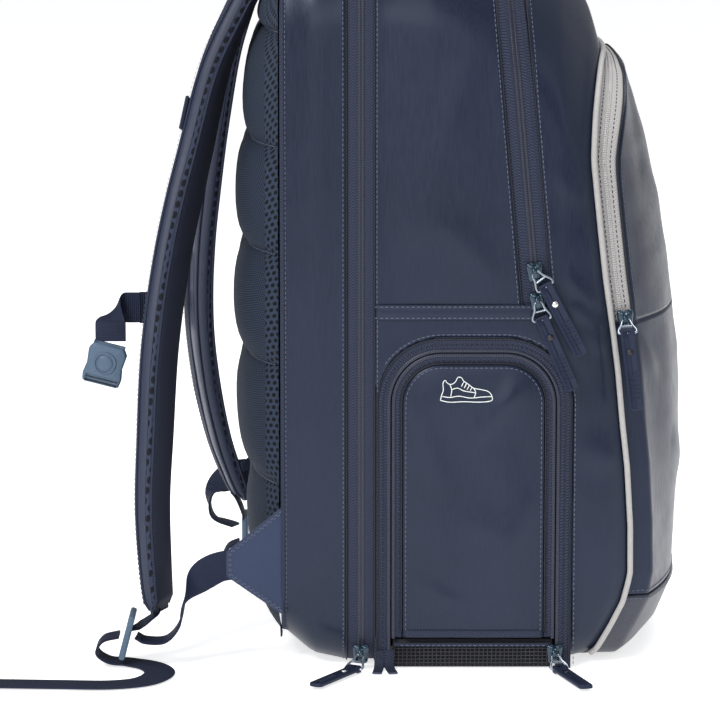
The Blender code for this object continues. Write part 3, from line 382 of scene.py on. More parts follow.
def resample(points, count, closed=False):
    """Evenly spaced points along a polyline."""
    points = np.asarray(points, float)
    if closed:
        points = np.concatenate([points, points[:1]])
    length = np.concatenate([[0], np.cumsum(np.linalg.norm(np.diff(points, axis=0), axis=1))])
    want = np.linspace(0, length[-1], count + (1 if closed else 0))[:count]
    return np.stack([np.interp(want, length, points[:, k]) for k in range(points.shape[1])], 1)


def unit(v):
    v = np.asarray(v, float)
    return v / np.maximum(np.linalg.norm(v, axis=-1, keepdims=True), 1e-12)


def tangents(points, closed=False):
    if closed:
        return unit(np.roll(points, -1, 0) - np.roll(points, 1, 0))
    return unit(np.gradient(points, axis=0))


def sweep(name, points, across, profile, material, closed=False):
    """A profile of (across, out) pairs carried along a curve; across is the wide direction."""
    points = np.asarray(points, float)
    t = tangents(points, closed)
    wide = np.asarray(across, float)
    if wide.ndim == 1:
        wide = np.repeat(wide[None], len(points), 0)
    wide = unit(wide - t * np.sum(wide * t, 1, keepdims=True))
    out = np.cross(t, wide)
    profile = np.asarray(profile, float)
    if profile.ndim == 2:
        profile = np.repeat(profile[None], len(points), 0)
    grid = points[None] + (wide[None] * profile[:, :, 0].T[:, :, None]
                           + out[None] * profile[:, :, 1].T[:, :, None])
    obj = grid_object(name, grid, material, cyclic=(True, closed))
    if not closed:
        bm = bmesh.new()
        bm.from_mesh(obj.data)
        bm.verts.ensure_lookup_table()
        rows, cols = grid.shape[:2]
        for j in (0, cols - 1):
            loop = [bm.verts[i * cols + j] for i in range(rows)]
            face = bm.faces.new(loop if j else loop[::-1])
            face.smooth = False
        bm.to_mesh(obj.data)
        bm.free()
    return obj


def round_profile(half_width, half_thick, steps=3):
    """A flat bar's outline with rounded edges."""
    r = half_thick * (1 - 1e-4)
    points = []
    for cx, start in ((half_width - r, -90), (-(half_width - r), 90)):
        for i in range(steps * 2 + 1):
            a = math.radians(start + 180 * i / (steps * 2))
            points.append((cx + r * math.cos(a), r * math.sin(a)))
    return points


def tube(name, points, radius, material, closed=False, sides=8):
    points = np.asarray(points, float)
    guess = np.array([0.31, 0.17, 0.93])
    profile = [(radius * math.cos(2 * math.pi * i / sides), radius * math.sin(2 * math.pi * i / sides))
               for i in range(sides)]
    return sweep(name, points, frames_along(points, guess, closed), profile, material, closed)


def frames_along(points, guess, closed=False):
    """A direction across the curve that turns as little as it can."""
    t = tangents(points, closed)
    current = unit(guess - t[0] * np.dot(guess, t[0]))
    made = [current]
    for a in t[1:]:
        current = unit(current - a * np.dot(current, a))
        made.append(current)
    return np.array(made)


def join(name, objects):
    """Several mesh objects as one, keeping their materials and UVs."""
    base = objects[0]
    with bpy.context.temp_override(active_object=base, object=base, selected_objects=objects,
                                   selected_editable_objects=objects):
        bpy.ops.object.join()
    base.name = name
    base.data.name = name
    return base


def stitches(name, line, out, material=THREAD, pitch=0.0032, length=0.0022, radius=0.00028, lift=0.0002):
    """A row of short stitches along a line; out is the direction away from the cloth at each point."""
    line = np.asarray(line, float)
    total = float(np.sum(np.linalg.norm(np.diff(line, axis=0), axis=1)))
    count = max(2, int(total / pitch))
    spots = resample(line, count)
    out = np.asarray(out, float)
    if out.ndim == 1:
        out = np.repeat(out[None], len(line), 0)
    normals = np.stack([np.interp(np.linspace(0, 1, count), np.linspace(0, 1, len(line)), out[:, k])
                        for k in range(3)], 1)
    t = tangents(spots)
    normals = unit(normals - t * np.sum(normals * t, 1, keepdims=True))
    side = np.cross(t, normals)
    verts, faces = [], []
    shape = ((-0.5, 0.0, 0.3), (-0.32, 0.9, 1.0), (0.32, 0.9, 1.0), (0.5, 0.0, 0.3))
    ring = [(math.cos(a), math.sin(a)) for a in (0, math.pi / 3, 2 * math.pi / 3, math.pi)]
    for p, a, b, c in zip(spots, t, side, normals):
        base = len(verts)
        for along, _, swell in shape:
            for x, y in ring:
                verts.append(p + a * (along * length) + b * (x * radius * swell)
                             + c * (lift + y * radius * swell - (1 - swell) * radius))
        for i in range(3):
            for j in range(3):
                q = base + i * 4 + j
                faces.append((q, q + 1, q + 5, q + 4))
    mesh = bpy.data.meshes.new(name)
    mesh.from_pydata([tuple(v) for v in verts], [], faces)
    mesh.polygons.foreach_set("use_smooth", [True] * len(mesh.polygons))
    return new_object(name, mesh, material)


# ------------------------------------------------------------------ the body's surface
def along_line(line, z):
    table = np.array(line)
    return np.interp(z, table[:, 0], table[:, 1])


def lean(offset, z):
    return ZIP_X + offset + ZIP_LEAN * np.maximum(0.0, z - FOLD_Z)


def piping_x(y, z, crown=0.013):
    return along_line(PIPING_LINE, z) + crown * (1 - (y / PIPING_W) ** 2) * np.minimum(1.0, z / 0.03)


def front_x(y, z):
    edge = along_line(PIPING_LINE, z) + 0.016
    middle = np.maximum(along_line(FRONT_LINE, z), edge)
    share = np.minimum(1.0, np.abs(y) / POCKET_W)
    return edge + (middle - edge) * (1 - share ** 2.6)


STATIONS = {
    # name: position, half width, top, bottom, corner y, corner z, foot, x
    "A": (0.0, 0.150, 0.508, 0.020, 0.130, 0.105, 0.030, lambda y, z: BACK_X + 0 * z),
    "A2": (1.0, 0.1545, 0.515, 0.005, 0.130, 0.105, 0.028, lambda y, z: -0.075 + 0 * z),
    "B": (2.0, 0.155, 0.520, 0.0, 0.130, 0.105, 0.026, lambda y, z: TAPE_REAR_X + 0 * z),
    "C": (3.0, 0.155, 0.520, 0.0, 0.130, 0.105, 0.026, lambda y, z: TAPE_FRONT_X + 0 * z),
    "M": (4.0, 0.155, 0.517, 0.0, 0.130, 0.105, 0.026, lambda y, z: 0 * z),
    "D": (5.0, 0.155, 0.500, 0.0, 0.130, 0.105, 0.026, lambda y, z: lean(-ZIP_HALF, z)),
    "E": (6.0, 0.155, 0.479, 0.0, 0.130, 0.105, 0.026, lambda y, z: lean(ZIP_HALF, z)),
    "F": (7.0, 0.1525, 0.449, 0.001, 0.130, 0.105, 0.026,
          lambda y, z: 0.55 * lean(ZIP_HALF, z) + 0.45 * piping_x(y, z)),
    "G": (8.0, 0.1475, 0.417, 0.002, 0.130, 0.105, 0.026,
          lambda y, z: 0.2 * lean(ZIP_HALF, z) + 0.8 * piping_x(y, z)),
    "P": (9.0, PIPING_W, POCKET_TOP, 0.003, 0.075, 0.070, 0.020, piping_x),
}
ORDER = sorted(STATIONS.values(), key=lambda s: s[0])


def outline(width, top, bottom, cy, cz, foot):
    """Half a cross-section from the middle of the floor, up the +Y side, to the middle of the top."""
    dome, pts = 0.006, [(y, bottom) for y in np.linspace(0, width - foot, 12)]
    for a in np.linspace(0, math.pi / 2, 10):
        pts.append((width - foot + foot * math.sin(a), bottom + foot - foot * math.cos(a)))
    low, high = bottom + foot, top - cz
    pts += [(width, z) for z in np.linspace(low, high, 60)[1:-1]]
    for a in np.linspace(0, math.pi / 2, 40):
        pts.append((width - cy + cy * math.cos(a), high + cz * math.sin(a)))
    pts += [(y, top) for y in np.linspace(width - cy, 0, 6)[1:]]
    pts = np.array(pts)
    rise = np.maximum(0.0, pts[:, 1] - high) / cz * (1 - (pts[:, 0] / width) ** 2)
    pts[:, 1] += dome * rise
    return pts


def ring(s):
    """The whole cross-section at a station, as points from the floor's middle round by +Y."""
    s = min(max(s, 0.0), 9.0)
    i = min(int(s), 8)
    t = s - i
    a, b = ORDER[i], ORDER[i + 1]
    values = [(1 - t) * p + t * q for p, q in zip(a[1:7], b[1:7])]
    half = outline(*values)
    full = np.concatenate([half, half[-2:0:-1] * [-1, 1]])
    y, z = full[:, 0], full[:, 1]
    x = (1 - t) * a[7](y, z) + t * b[7](y, z)
    return np.stack([x, y, z], 1)


def arch(s, low, count):
    """A cross-section's part above a height, from the near side (-Y) over the top to the far side."""
    points = ring(s)[::-1]
    start = int(np.argmin(points[:, 2] + 0 * points[:, 0]))
    points = np.roll(points, -start, 0)
    keep = points[:, 2] > low
    near = points[(points[:, 1] < 0) & keep]
    far = points[(points[:, 1] >= 0) & keep]
    near = near[np.argsort(np.arctan2(near[:, 2] - 0.25, -near[:, 1] - 0.0))]
    far = far[np.argsort(-np.arctan2(far[:, 2] - 0.25, far[:, 1]))]
    line = np.concatenate([near, far])
    for end, other, k in ((0, 1, 0), (-1, -2, len(line))):
        p, q = line[end], line[other]
        if abs(q[2] - p[2]) > 1e-5 and p[2] > low + 1e-4:
            t = (low - p[2]) / (q[2] - p[2])
            line = np.insert(line, k, p + (q - p) * t, 0)
    return resample(line, count)


def waves(points, scale, seed, terms=10):
    """Soft noise from a fixed set of sines; scale is the shortest wavelength."""
    random = np.random.RandomState(seed)
    total = np.zeros(points.shape[:-1])
    for _ in range(terms):
        way = unit(random.normal(size=3))
        pitch = scale * (1 + 1.6 * random.rand())
        total += np.sin(points @ way * (2 * math.pi / pitch) + random.rand() * 6.28)
    return total / math.sqrt(terms)


def grid_normals(grid, outward_from=(0.02, 0.0, 0.25)):
    du = np.gradient(grid, axis=0)
    dv = np.gradient(grid, axis=1)
    n = unit(np.cross(du, dv))
    away = grid - np.array(outward_from)
    flip = np.sign(np.sum(n * away))
    return n * (flip if flip else 1)


def seam_rows(width, near_seam=True, far_seam=True, step=0.006):
    """Distances across a panel, closer together beside its seams."""
    close = [0.0, 0.0004, 0.0010, 0.0018, 0.0030, 0.0048, 0.0080]
    rows = list(close) if near_seam else [0.0]
    end = [width - c for c in close[::-1]] if far_seam else [width]
    middle = np.linspace(rows[-1], end[0], max(2, int((end[0] - rows[-1]) / step) + 2))[1:-1]
    return np.array(rows + list(middle) + end)


def lip(distance, height=0.0011):
    """A turned edge: the cloth rolls up from the seam and settles back."""
    rise = 1 - np.exp(-distance / 0.0007)
    return height * rise * np.exp(-distance / 0.012) - 0.0006 * np.exp(-distance / 0.0005)


def fold(points, a, b, width, height):
    """A long soft crease between two points, raised on its line."""
    a, b = np.array(a), np.array(b)
    d = b - a
    t = np.clip(np.sum((points - a) * d, -1) / np.sum(d * d), 0, 1)
    distance = np.linalg.norm(points - (a + t[..., None] * d), axis=-1)
    return height * np.exp(-(distance / width) ** 2) * np.sin(np.pi * np.clip(t, 0.02, 0.98)) ** 0.7


def panel_grid(s0, s1, low, count, width, near_seam=True, far_seam=True, puff=0.002, ripple=0.0009, seed=1,
               full=False, folds=()):
    rows = seam_rows(width, near_seam, far_seam)
    share = rows / width
    lines = []
    for t in share:
        s = s0 + (s1 - s0) * t
        lines.append(resample(ring(s), count, True) if full else arch(s, low, count))
    grid = np.array(lines)
    normal = grid_normals(grid)
    edge = np.minimum(rows if near_seam else rows + 1, (width - rows) if far_seam else rows + 1)
    fade = 1 - np.exp(-edge / 0.012)
    lift = np.zeros(grid.shape[:2])
    if near_seam:
        lift += lip(rows)[:, None]
    if far_seam:
        lift += lip(width - rows)[:, None]
    lift += (puff * np.sin(np.pi * share) * fade)[:, None]
    lift += waves(grid * [1, 1, 0.6], 0.055, seed) * ripple * fade[:, None]
    lift += waves(grid, 0.021, seed + 7) * ripple * 0.22 * fade[:, None]
    for one in folds:
        lift += fold(grid, *one) * fade[:, None]
    floor = np.clip(grid[:, :, 2] / 0.03, 0, 1)
    grid = grid + normal * (lift * floor)[:, :, None]
    grid[:, :, 2] = np.maximum(grid[:, :, 2], 0.0)
    return grid


# ------------------------------------------------------------------ camera, light and floor
def add_light(name, place, target, size, power, colour=(1, 1, 1)):
    data = bpy.data.lights.new(name, "AREA")
    data.shape = "RECTANGLE"
    data.size, data.size_y = size
    data.energy = power
    data.color = colour
    obj = bpy.data.objects.new(name, data)
    scene.collection.objects.link(obj)
    obj.location = place
    obj.rotation_euler = (Vector(target) - Vector(place)).to_track_quat("-Z", "Y").to_euler()


camera_data = bpy.data.cameras.new("camera")
camera_data.sensor_width = 36.0
camera_data.lens = 191.6
camera = bpy.data.objects.new("camera", camera_data)
scene.collection.objects.link(camera)
camera.location = (-0.045, -2.575, 0.6025)
camera.rotation_euler = (Vector((-0.045, -0.155,
                                 0.2025)) - camera.location).to_track_quat("-Z", "Y").to_euler()
scene.camera = camera
scene.view_settings.view_transform = "Standard"

floor_mesh = bpy.data.meshes.new("floor")
floor_mesh.from_pydata([(-14, -14, -0.0003), (14, -14, -0.0003), (14, 14, -0.0003), (-14, 14, -0.0003)], [],
                       [(0, 1, 2, 3)])
floor_net = Net("pale_floor", (0.93, 0.93, 0.93), 0.85, Emission_Color=(1, 1, 1, 1), Emission_Strength=0.68)
floor_net.tint(floor_net.noise(3, 2), 0.99, 1.01)
# the floor glows behind the bag and falls off towards the viewer, so the walls reflect a darker foreground
floor_tree = floor_net.mat.node_tree
spot_node = floor_tree.nodes.new("ShaderNodeNewGeometry")
split_node = floor_tree.nodes.new("ShaderNodeSeparateXYZ")
fade_node = floor_tree.nodes.new("ShaderNodeMapRange")
for index, value in enumerate((-1.7, -0.45, 0.10, 0.68), 1):
    fade_node.inputs[index].default_value = value
floor_tree.links.new(spot_node.outputs["Position"], split_node.inputs[0])
floor_tree.links.new(split_node.outputs[1], fade_node.inputs[0])
floor_tree.links.new(fade_node.outputs[0], floor_tree.nodes["Principled BSDF"].inputs["Emission Strength"])
floor = new_object("floor", floor_mesh, floor_net.mat)

world = bpy.data.worlds.new("world")
scene.world = world
world.use_nodes = True
world.node_tree.nodes["Background"].inputs[0].default_value = (0.95, 0.97, 1.0, 1)
world.node_tree.nodes["Background"].inputs[1].default_value = 0.32
add_light("key", (-1.2, -1.7, 1.9), (0, 0, 0.25), (0.9, 0.9), 44)
add_light("top", (0.5, 0.2, 2.4), (0, 0, 0.2), (1.2, 1.2), 34)
add_light("rim", (1.9, -0.6, 1.2), (0, 0, 0.25), (0.7, 1.4), 2)
add_light("front", (-0.5, -3.0, 1.0), (0, 0, 0.4), (1.8, 0.9), 16)


# ------------------------------------------------------------------ webbing tails, the free cords
ACROSS = (0.0, 1.0, 0.0)
NEAR_TAIL = (((-0.2015, -0.1450, 0.0200), ACROSS), ((-0.2120, -0.1450, 0.0170), ACROSS),
             ((-0.2160, -0.1450, 0.0090), ACROSS), ((-0.2080, -0.1450, 0.0030), ACROSS),
             ((-0.1950, -0.1460, 0.0018), ACROSS), ((-0.1800, -0.1560, 0.0014), (0.7, 0.7, 0.0)),
             ((-0.1740, -0.1750, 0.0014), (1.0, 0.0, 0.0)), ((-0.1830, -0.1960, 0.0014), (0.7, -0.7, 0.0)),
             ((-0.2040, -0.2050, 0.0014), (0.1, -1.0, 0.0)), ((-0.2350, -0.2040, 0.0014), (0.0, -1.0, 0.0)),
             ((-0.2700, -0.2020, 0.0014), (0.0, -1.0, 0.0)), ((-0.3150, -0.2000, 0.0014), (0.0, -1.0, 0.0)))
FAR_TAIL = (((-0.1320, 0.1260, 0.0240), ACROSS), ((-0.1400, 0.1260, 0.0200), ACROSS),
            ((-0.1430, 0.1270, 0.0110), ACROSS), ((-0.1360, 0.1290, 0.0030), ACROSS),
            ((-0.1200, 0.1400, 0.0015), (-0.6, 0.8, 0.0)), ((-0.1010, 0.1610, 0.0014), (-0.65, 0.75, 0.0)),
            ((-0.0750, 0.1790, 0.0014), (-0.4, 0.9, 0.0)), ((-0.0350, 0.1870, 0.0014), (-0.1, 1.0, 0.0)),
            ((0.0250, 0.1880, 0.0014), ACROSS))
WEB_PROFILE = round_profile(0.0100, 0.00075)


def ribbon(name, spine, material=None, profile=WEB_PROFILE, steps=8):
    points = smooth([p for p, _ in spine], steps)
    wide = smooth([w for _, w in spine], steps)
    return sweep(name, points, wide, profile, material or WEB), points


for side, spine in (("near", NEAR_TAIL), ("far", FAR_TAIL)):
    tail, path = ribbon("tail_" + side, spine)
    end = np.array(spine[-1][0])
    ahead = unit(end - np.array(spine[-2][0]))
    folded = [end - ahead * 0.018 + [0, 0, 0.0015], end - ahead * 0.009 + [0, 0, 0.0016],
              end + [0, 0, 0.0014]]
    hem = sweep("tail_hem_" + side, folded, (0, 1, 0), round_profile(0.0100, 0.0006), WEB)
    row = [end - ahead * 0.013 + [0, y, 0.0024] for y in (-0.008, 0.008)]
    sewn = stitches("tail_stitch_" + side, row, (0, 0, 1))
    for piece in (tail, hem, sewn):
        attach(piece, "strap_" + side)
    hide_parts("web_tail_" + side)
    length = float(np.sum(np.linalg.norm(np.diff(path, axis=0), axis=1)))


# ------------------------------------------------------------------ rear racket compartment
COUNT = 620


def show(obj, body, slot, *nodes):
    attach(obj, body)
    if nodes:
        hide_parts(*nodes)
    return obj


def stitch_on(name, grid, row, body, slot="fabric", out=None, material=THREAD, trim=(0.0, 1.0), **options):
    normal = grid_normals(grid)
    n = grid.shape[1]
    a, b = int(n * trim[0]), int(n * trim[1])
    made = stitches(name, grid[row, a:b], normal[row, a:b] if out is None else out, material, **options)
    return show(made, body, slot)


gusset = panel_grid(0.0, 1.90, 0.0, COUNT, 0.041, puff=0.0015, ripple=0.0006, seed=3, full=True)
show(thicken(grid_object("rear_gusset", gusset, SATIN, (False, True)), 0.0016), "racket_flap", "fabric",
     "racket_gusset")
for label, row in (("a", 3), ("b", len(gusset) - 4)):
    stitch_on("gusset_stitch_" + label, gusset, row, "racket_flap")


def tape_ring(name, s0, s1, body, slot, material, node, inset=0.0006, low=None, count=COUNT, rows=9):
    """A woven tape between two places along the stations, set a little below the cloth beside it."""
    lines = []
    for t in np.linspace(0, 1, rows):
        s = s0 + (s1 - s0) * t
        lines.append(resample(ring(s), count, True) if low is None else arch(s, low, count))
    grid = np.array(lines)
    normal = grid_normals(grid)
    grid = grid - normal * inset
    grid[:, :, 2] = np.maximum(grid[:, :, 2], 0.0)
    obj = thicken(grid_object(name, grid, material, (False, low is None)), 0.0012)
    show(obj, body, slot, node)
    return grid, normal


def coil_rows(name, grid_line, normal, body, material, offset=0.0013, radius=0.00075, pitch=0.0015,
              slot="tape", rows=(-1, 1)):
    """A zip's coil: rows of small loops along a line; a row's number is its place to the side."""
    line = np.asarray(grid_line)
    total = float(np.sum(np.linalg.norm(np.diff(line, axis=0), axis=1)))
    spots = resample(line, int(total / pitch))
    keep = np.linspace(0, len(line) - 1, len(spots))
    base = np.arange(len(line))
    n = unit(np.stack([np.interp(keep, base, normal[:, k]) for k in range(3)], 1))
    t = tangents(spots)
    w = unit(np.cross(t, n))
    verts, faces = [], []
    ring_shape = [(math.cos(a), math.sin(a)) for a in np.linspace(0, math.pi, 6)]
    for row in rows:
        for p, a, b, c in zip(spots + t * (pitch * 0.25 * row), t, w, n):
            base_index = len(verts)
            for slide_by in (-0.42, 0.42):
                for x, y in ring_shape:
                    verts.append(p + b * (row * offset + x * offset * 0.92) + c * (y * radius)
                                 + a * (slide_by * pitch * (0.72 + 0.28 * y)))
            for i in range(5):
                faces.append((base_index + i, base_index + i + 1, base_index + i + 7, base_index + i + 6))
            faces.append(tuple(base_index + i for i in range(6)))
            faces.append(tuple(base_index + 6 + i for i in range(5, -1, -1)))
    mesh = bpy.data.meshes.new(name)
    mesh.from_pydata([tuple(v) for v in verts], [], faces)
    obj = new_object(name, mesh, material)
    if body is None:
        return obj
    return show(obj, body, slot)


front_tape, tape_n = tape_ring("racket_tape_front", 2.452, 2.995, "bag", "tape", TAPE,
                               "racket_zip_tape_front")
rear_tape, rear_n = tape_ring("racket_tape_rear", 1.905, 2.448, "racket_flap", "tape", TAPE,
                              "racket_zip_tape_rear")
coil_rows("racket_coil_front", front_tape[1], tape_n[1], "bag", COIL, rows=(0,))
coil_rows("racket_coil_rear", rear_tape[-2], rear_n[-2], "racket_flap", COIL, rows=(0,))


# ------------------------------------------------------------------ main body
UP_COUNT, LOW_COUNT = 400, 260


def split_ring(s):
    """A cross-section whose columns meet the fold exactly: over the top first, then round under the floor."""
    upper = arch(s, FOLD_Z, UP_COUNT)
    points = ring(s)
    near, far = upper[0], upper[-1]
    low = points[points[:, 2] < FOLD_Z - 1e-4]
    order = np.argsort(np.where(low[:, 1] > 0, 1.0, -1.0) * 10 * (low[:, 2] + 0.001) + low[:, 1])[::-1]
    low = resample(np.concatenate([[far], low[order], [near]]), LOW_COUNT)
    return np.concatenate([upper, low[1:-1]])


def surface_lift(grid, fade, ripple, seed, folds=()):
    lift = waves(grid * [1, 1, 0.55], 0.060, seed) * ripple * fade
    lift += waves(grid, 0.022, seed + 7) * ripple * 0.20 * fade
    for one in folds:
        lift += fold(grid, *one) * fade
    return lift


def finish_lift(grid, normal, lift):
    floor = np.clip(grid[:, :, 2] / 0.03, 0, 1)
    moved = grid + normal * (lift * floor)[:, :, None]
    moved[:, :, 2] = np.maximum(moved[:, :, 2], 0.0)
    return moved


DOOR_L, DOOR_R, DOOR_TOP, DOOR_R0 = -0.0345, 0.0905, 0.2165, 0.042


def door_line(offset, low=0.0, steps=16, up=40):
    """The shoe door's inverted U as (x, z) points, moved inwards by offset."""
    left, right, top, r = DOOR_L + offset, DOOR_R - offset, DOOR_TOP - offset, DOOR_R0 - offset
    pts = [(left, z) for z in np.linspace(low, top - r, up)[:-1]]
    pts += [(left + r - r * math.cos(a), top - r + r * math.sin(a)) for a in np.linspace(0, math.pi / 2,
                                                                                         steps)]
    pts += [(x, top) for x in np.linspace(left + r, right - r, 12)[1:-1]]
    pts += [(right - r + r * math.sin(a), top - r + r * math.cos(a)) for a in np.linspace(0, math.pi / 2,
                                                                                          steps)]
    return np.array(pts + [(right, z) for z in np.linspace(top - r, low, up)[1:]])


def door_distance(x, z, offset=0.0):
    """How far inside the door's outline a point is; negative outside."""
    left, right, top, r = DOOR_L + offset, DOOR_R - offset, DOOR_TOP - offset, DOOR_R0 - offset
    cx = np.clip(x, left + r, right - r)
    cz = np.minimum(z, top - r)
    return r - np.sqrt((x - cx) ** 2 + np.maximum(0.0, z - cz) ** 2)


def cut_door(obj, outline_offset):
    """Opens the door's hole: the nearest points move onto its outline, and the faces inside it go."""
    mesh = obj.data
    co = np.empty(len(mesh.vertices) * 3)
    mesh.vertices.foreach_get("co", co)
    co = co.reshape(-1, 3)
    near = (co[:, 1] < -0.1) & (co[:, 2] < FOLD_Z - 0.001)
    for _ in range(3):
        d = door_distance(co[:, 0], co[:, 2], outline_offset)
        eps = 1e-4
        gx = (door_distance(co[:, 0] + eps, co[:, 2], outline_offset) - d) / eps
        gz = (door_distance(co[:, 0], co[:, 2] + eps, outline_offset) - d) / eps
        size = np.sqrt(gx * gx + gz * gz) + 1e-9
        close = near & (np.abs(d) < 0.0021)
        co[close, 0] -= (d * gx / size ** 2)[close]
        co[close, 2] -= (d * gz / size ** 2)[close]
    co[:, 2] = np.maximum(co[:, 2], 0)
    mesh.vertices.foreach_set("co", co.ravel())
    bm = bmesh.new()
    bm.from_mesh(mesh)
    gone = []
    for f in bm.faces:
        c = f.calc_center_median()
        if c.y < -0.1 and c.z < FOLD_Z and door_distance(np.array(c.x), np.array(c.z), outline_offset) > 0:
            gone.append(f)
    bmesh.ops.delete(bm, geom=gone, context="FACES")
    bm.to_mesh(mesh)
    bm.free()


def drop_faces(obj, test):
    bm = bmesh.new()
    bm.from_mesh(obj.data)
    gone = [f for f in bm.faces if test(f.calc_center_median())]
    bmesh.ops.delete(bm, geom=gone, context="FACES")
    bm.to_mesh(obj.data)
    bm.free()


# the side and top panel, between the racket zip and the main zip
rows_up = seam_rows(0.094, True, True, 0.0045)
share = rows_up / 0.094
upper = np.array([arch(3.0 + 2.0 * t, FOLD_Z, UP_COUNT) for t in share])
n_up = grid_normals(upper)
edge = np.minimum(rows_up, 0.094 - rows_up)
fade = (1 - np.exp(-edge / 0.014))[:, None]
lift = (lip(rows_up) + lip(0.094 - rows_up))[:, None] + fade * 0.0028 * np.sin(np.pi * share)[:, None] \
    * np.clip((upper[:, :, 2] - FOLD_Z) / 0.05, 0, 1)
lift = lift + surface_lift(upper, fade, 0.0008, 21,
                           folds=(((-0.02, -0.155, 0.27), (0.03, -0.155, 0.40), 0.010, 0.0016),
                                  ((0.05, -0.155, 0.250), (0.0, -0.155, 0.300), 0.008, 0.0012)))
upper_side = finish_lift(upper, n_up, lift)
show(thicken(grid_object("side_panel_upper", upper_side, SATIN), 0.0016), "bag", "fabric", "main_shell")
for label, row in (("rear", 3), ("front", len(upper_side) - 4)):
    stitch_on("side_stitch_" + label, upper_side, row, "bag")

# the rest of the shell, from the racket zip to the piping: the whole girth below the fold, the front above it
rows_a = seam_rows(0.1135, True, False, 0.0030)
share_a = 3.0 + 3.0 * rows_a / 0.1135
rows_b = np.array([0.0, 0.0004, 0.0010, 0.0018, 0.0030, 0.0048, 0.0080])
tail_rows = np.array([0.0480, 0.0460, 0.0450, 0.0440, 0.0420, 0.0390])[::-1]
rows_b = np.concatenate([rows_b, np.linspace(0.0080, 0.0390, 12)[1:-1], tail_rows])
share_b = 6.0 + 3.0 * rows_b / 0.0480
stations = np.concatenate([share_a[:-1], share_b])
body = np.array([split_ring(s) for s in stations])
n_body = grid_normals(body)
split = len(share_a) - 1
across = np.concatenate([rows_a[:-1], 0.1135 + rows_b])
gate = np.clip((body[:, :, 2] - FOLD_Z) / 0.02, 0, 1)
from_zip = np.where(across[:, None] >= 0.1135, across[:, None] - 0.1135, 1.0)
from_piping = (across[-1] - across)[:, None]
fade = (1 - np.exp(-across / 0.014))[:, None] * (1 - np.exp(-from_piping / 0.010))
fade = fade * (1 - gate * np.exp(-from_zip / 0.012))
inside = door_distance(body[:, :, 0], body[:, :, 2], 0.0)
on_near = body[:, :, 1] < -0.1
from_door = np.where(on_near & (body[:, :, 2] < FOLD_Z), np.maximum(0.0, -inside), 1.0)
fade = fade * (1 - np.exp(-from_door / 0.010))
lift = lip(across)[:, None] * (np.arange(len(across)) < split)[:, None]
lift = lift + lip(from_zip) * gate + lip(from_piping) * 0.8
lift = lift + lip(from_door, 0.0007) * (from_door < 0.5)
creases = [((0.106, -0.152, 0.236), (0.083, -0.155, 0.262), 0.0045, 0.0016),
           ((0.110, -0.150, 0.222), (0.088, -0.155, 0.238), 0.0040, 0.0014),
           ((0.114, -0.149, 0.205), (0.097, -0.155, 0.226), 0.0050, 0.0013),
           ((0.100, -0.152, 0.300), (0.075, -0.155, 0.330), 0.007, 0.0012),
           ((0.118, -0.147, 0.130), (0.098, -0.154, 0.150), 0.008, 0.0013)]
creases += [((a[0], -a[1], a[2]), (b[0], -b[1], b[2]), w, h) for a, b, w, h in creases]
lift = lift + fade * 0.0020 * np.sin(np.pi * np.clip((stations - 6) / 3, 0, 1))[:, None]
lift = lift + surface_lift(body, fade, 0.0009, 31, folds=creases)
front_body = finish_lift(body, n_body, lift)
shell = grid_object("body_shell", front_body, SATIN, (False, True))
drop_faces(shell, lambda c: c.z > FOLD_Z and c.x < lean(ZIP_HALF, c.z) - 0.0002 and c.x < 0.11)
cut_door(shell, 0.0)
thicken(shell, 0.0016)
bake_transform(shell)
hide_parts("flap_shell")
stitch_on("body_stitch_rear", front_body[:, UP_COUNT - 1:], 3, "bag")
row = split + 3
up_row, n_row = front_body[row, :UP_COUNT], grid_normals(front_body)[row, :UP_COUNT]
sewn = stitches("front_stitch_zip", up_row, n_row, THREAD)
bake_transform(sewn)

# main zip tapes and coil
main_rear, n_rear = tape_ring("main_tape_rear", 5.0, 5.498, "bag", "tape", TAPE, "main_zip_tape_rear",
                              low=FOLD_Z,
                              count=UP_COUNT)


def tape_blended(name, s0, s1, material, nodes, low, inset=0.0006, make=arch):
    grid = np.array([make(s0 + (s1 - s0) * t, low, UP_COUNT) for t in np.linspace(0, 1, 9)])
    normal = grid_normals(grid)
    grid = grid - normal * inset
    obj = thicken(grid_object(name, grid, material), 0.0012)
    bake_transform(obj)
    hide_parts(*nodes)
    return grid, normal


main_front, n_front = tape_blended("main_tape_front", 5.502, 6.0, TAPE, ["main_zip_tape_front"],
                                   FOLD_Z)
coil_rows("main_coil_rear", main_rear[-2], n_rear[-2], "bag", COIL, rows=(0,))
coil = coil_rows("main_coil_front", main_front[1], n_front[1], None, COIL, rows=(0,))
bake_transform(coil)

# the double-stitched band under the fold
band_rows = np.array([0.0, 0.0005, 0.0014, 0.005, 0.0086, 0.0095, 0.0100])
xs = np.linspace(-0.0345, 0.066, 60)
for side, end in ((-1, ""), (1, "_far")):
    band = np.array([[(x, side * (SIDE_Y + 0.0016 + 0.0009 * min(1.0, 4 * r / 0.01, 4 * (0.01 - r) / 0.01)),
                       0.2285 + r)
                      for x in xs] for r in band_rows])
    show(thicken(grid_object("fold_band" + end, band, SATIN), 0.0012), "bag", "fabric")
    for label, row in (("low", 2), ("high", 4)):
        show(stitches("fold_stitch_" + label + end, band[row], (0, side, 0), THREAD), "bag", "fabric")


# ------------------------------------------------------------------ shoe door
def flat_band(name, outer, inner, low, y, material, rows=9):
    """A strip of tape between two offsets of the door's outline, on the near wall."""
    lines = []
    for t in np.linspace(0, 1, rows):
        pts = resample(door_line(outer + (inner - outer) * t, low), 260)
        lines.append(np.stack([pts[:, 0], np.full(len(pts), y), pts[:, 1]], 1))
    return thicken(grid_object(name, np.array(lines), material), 0.0011)


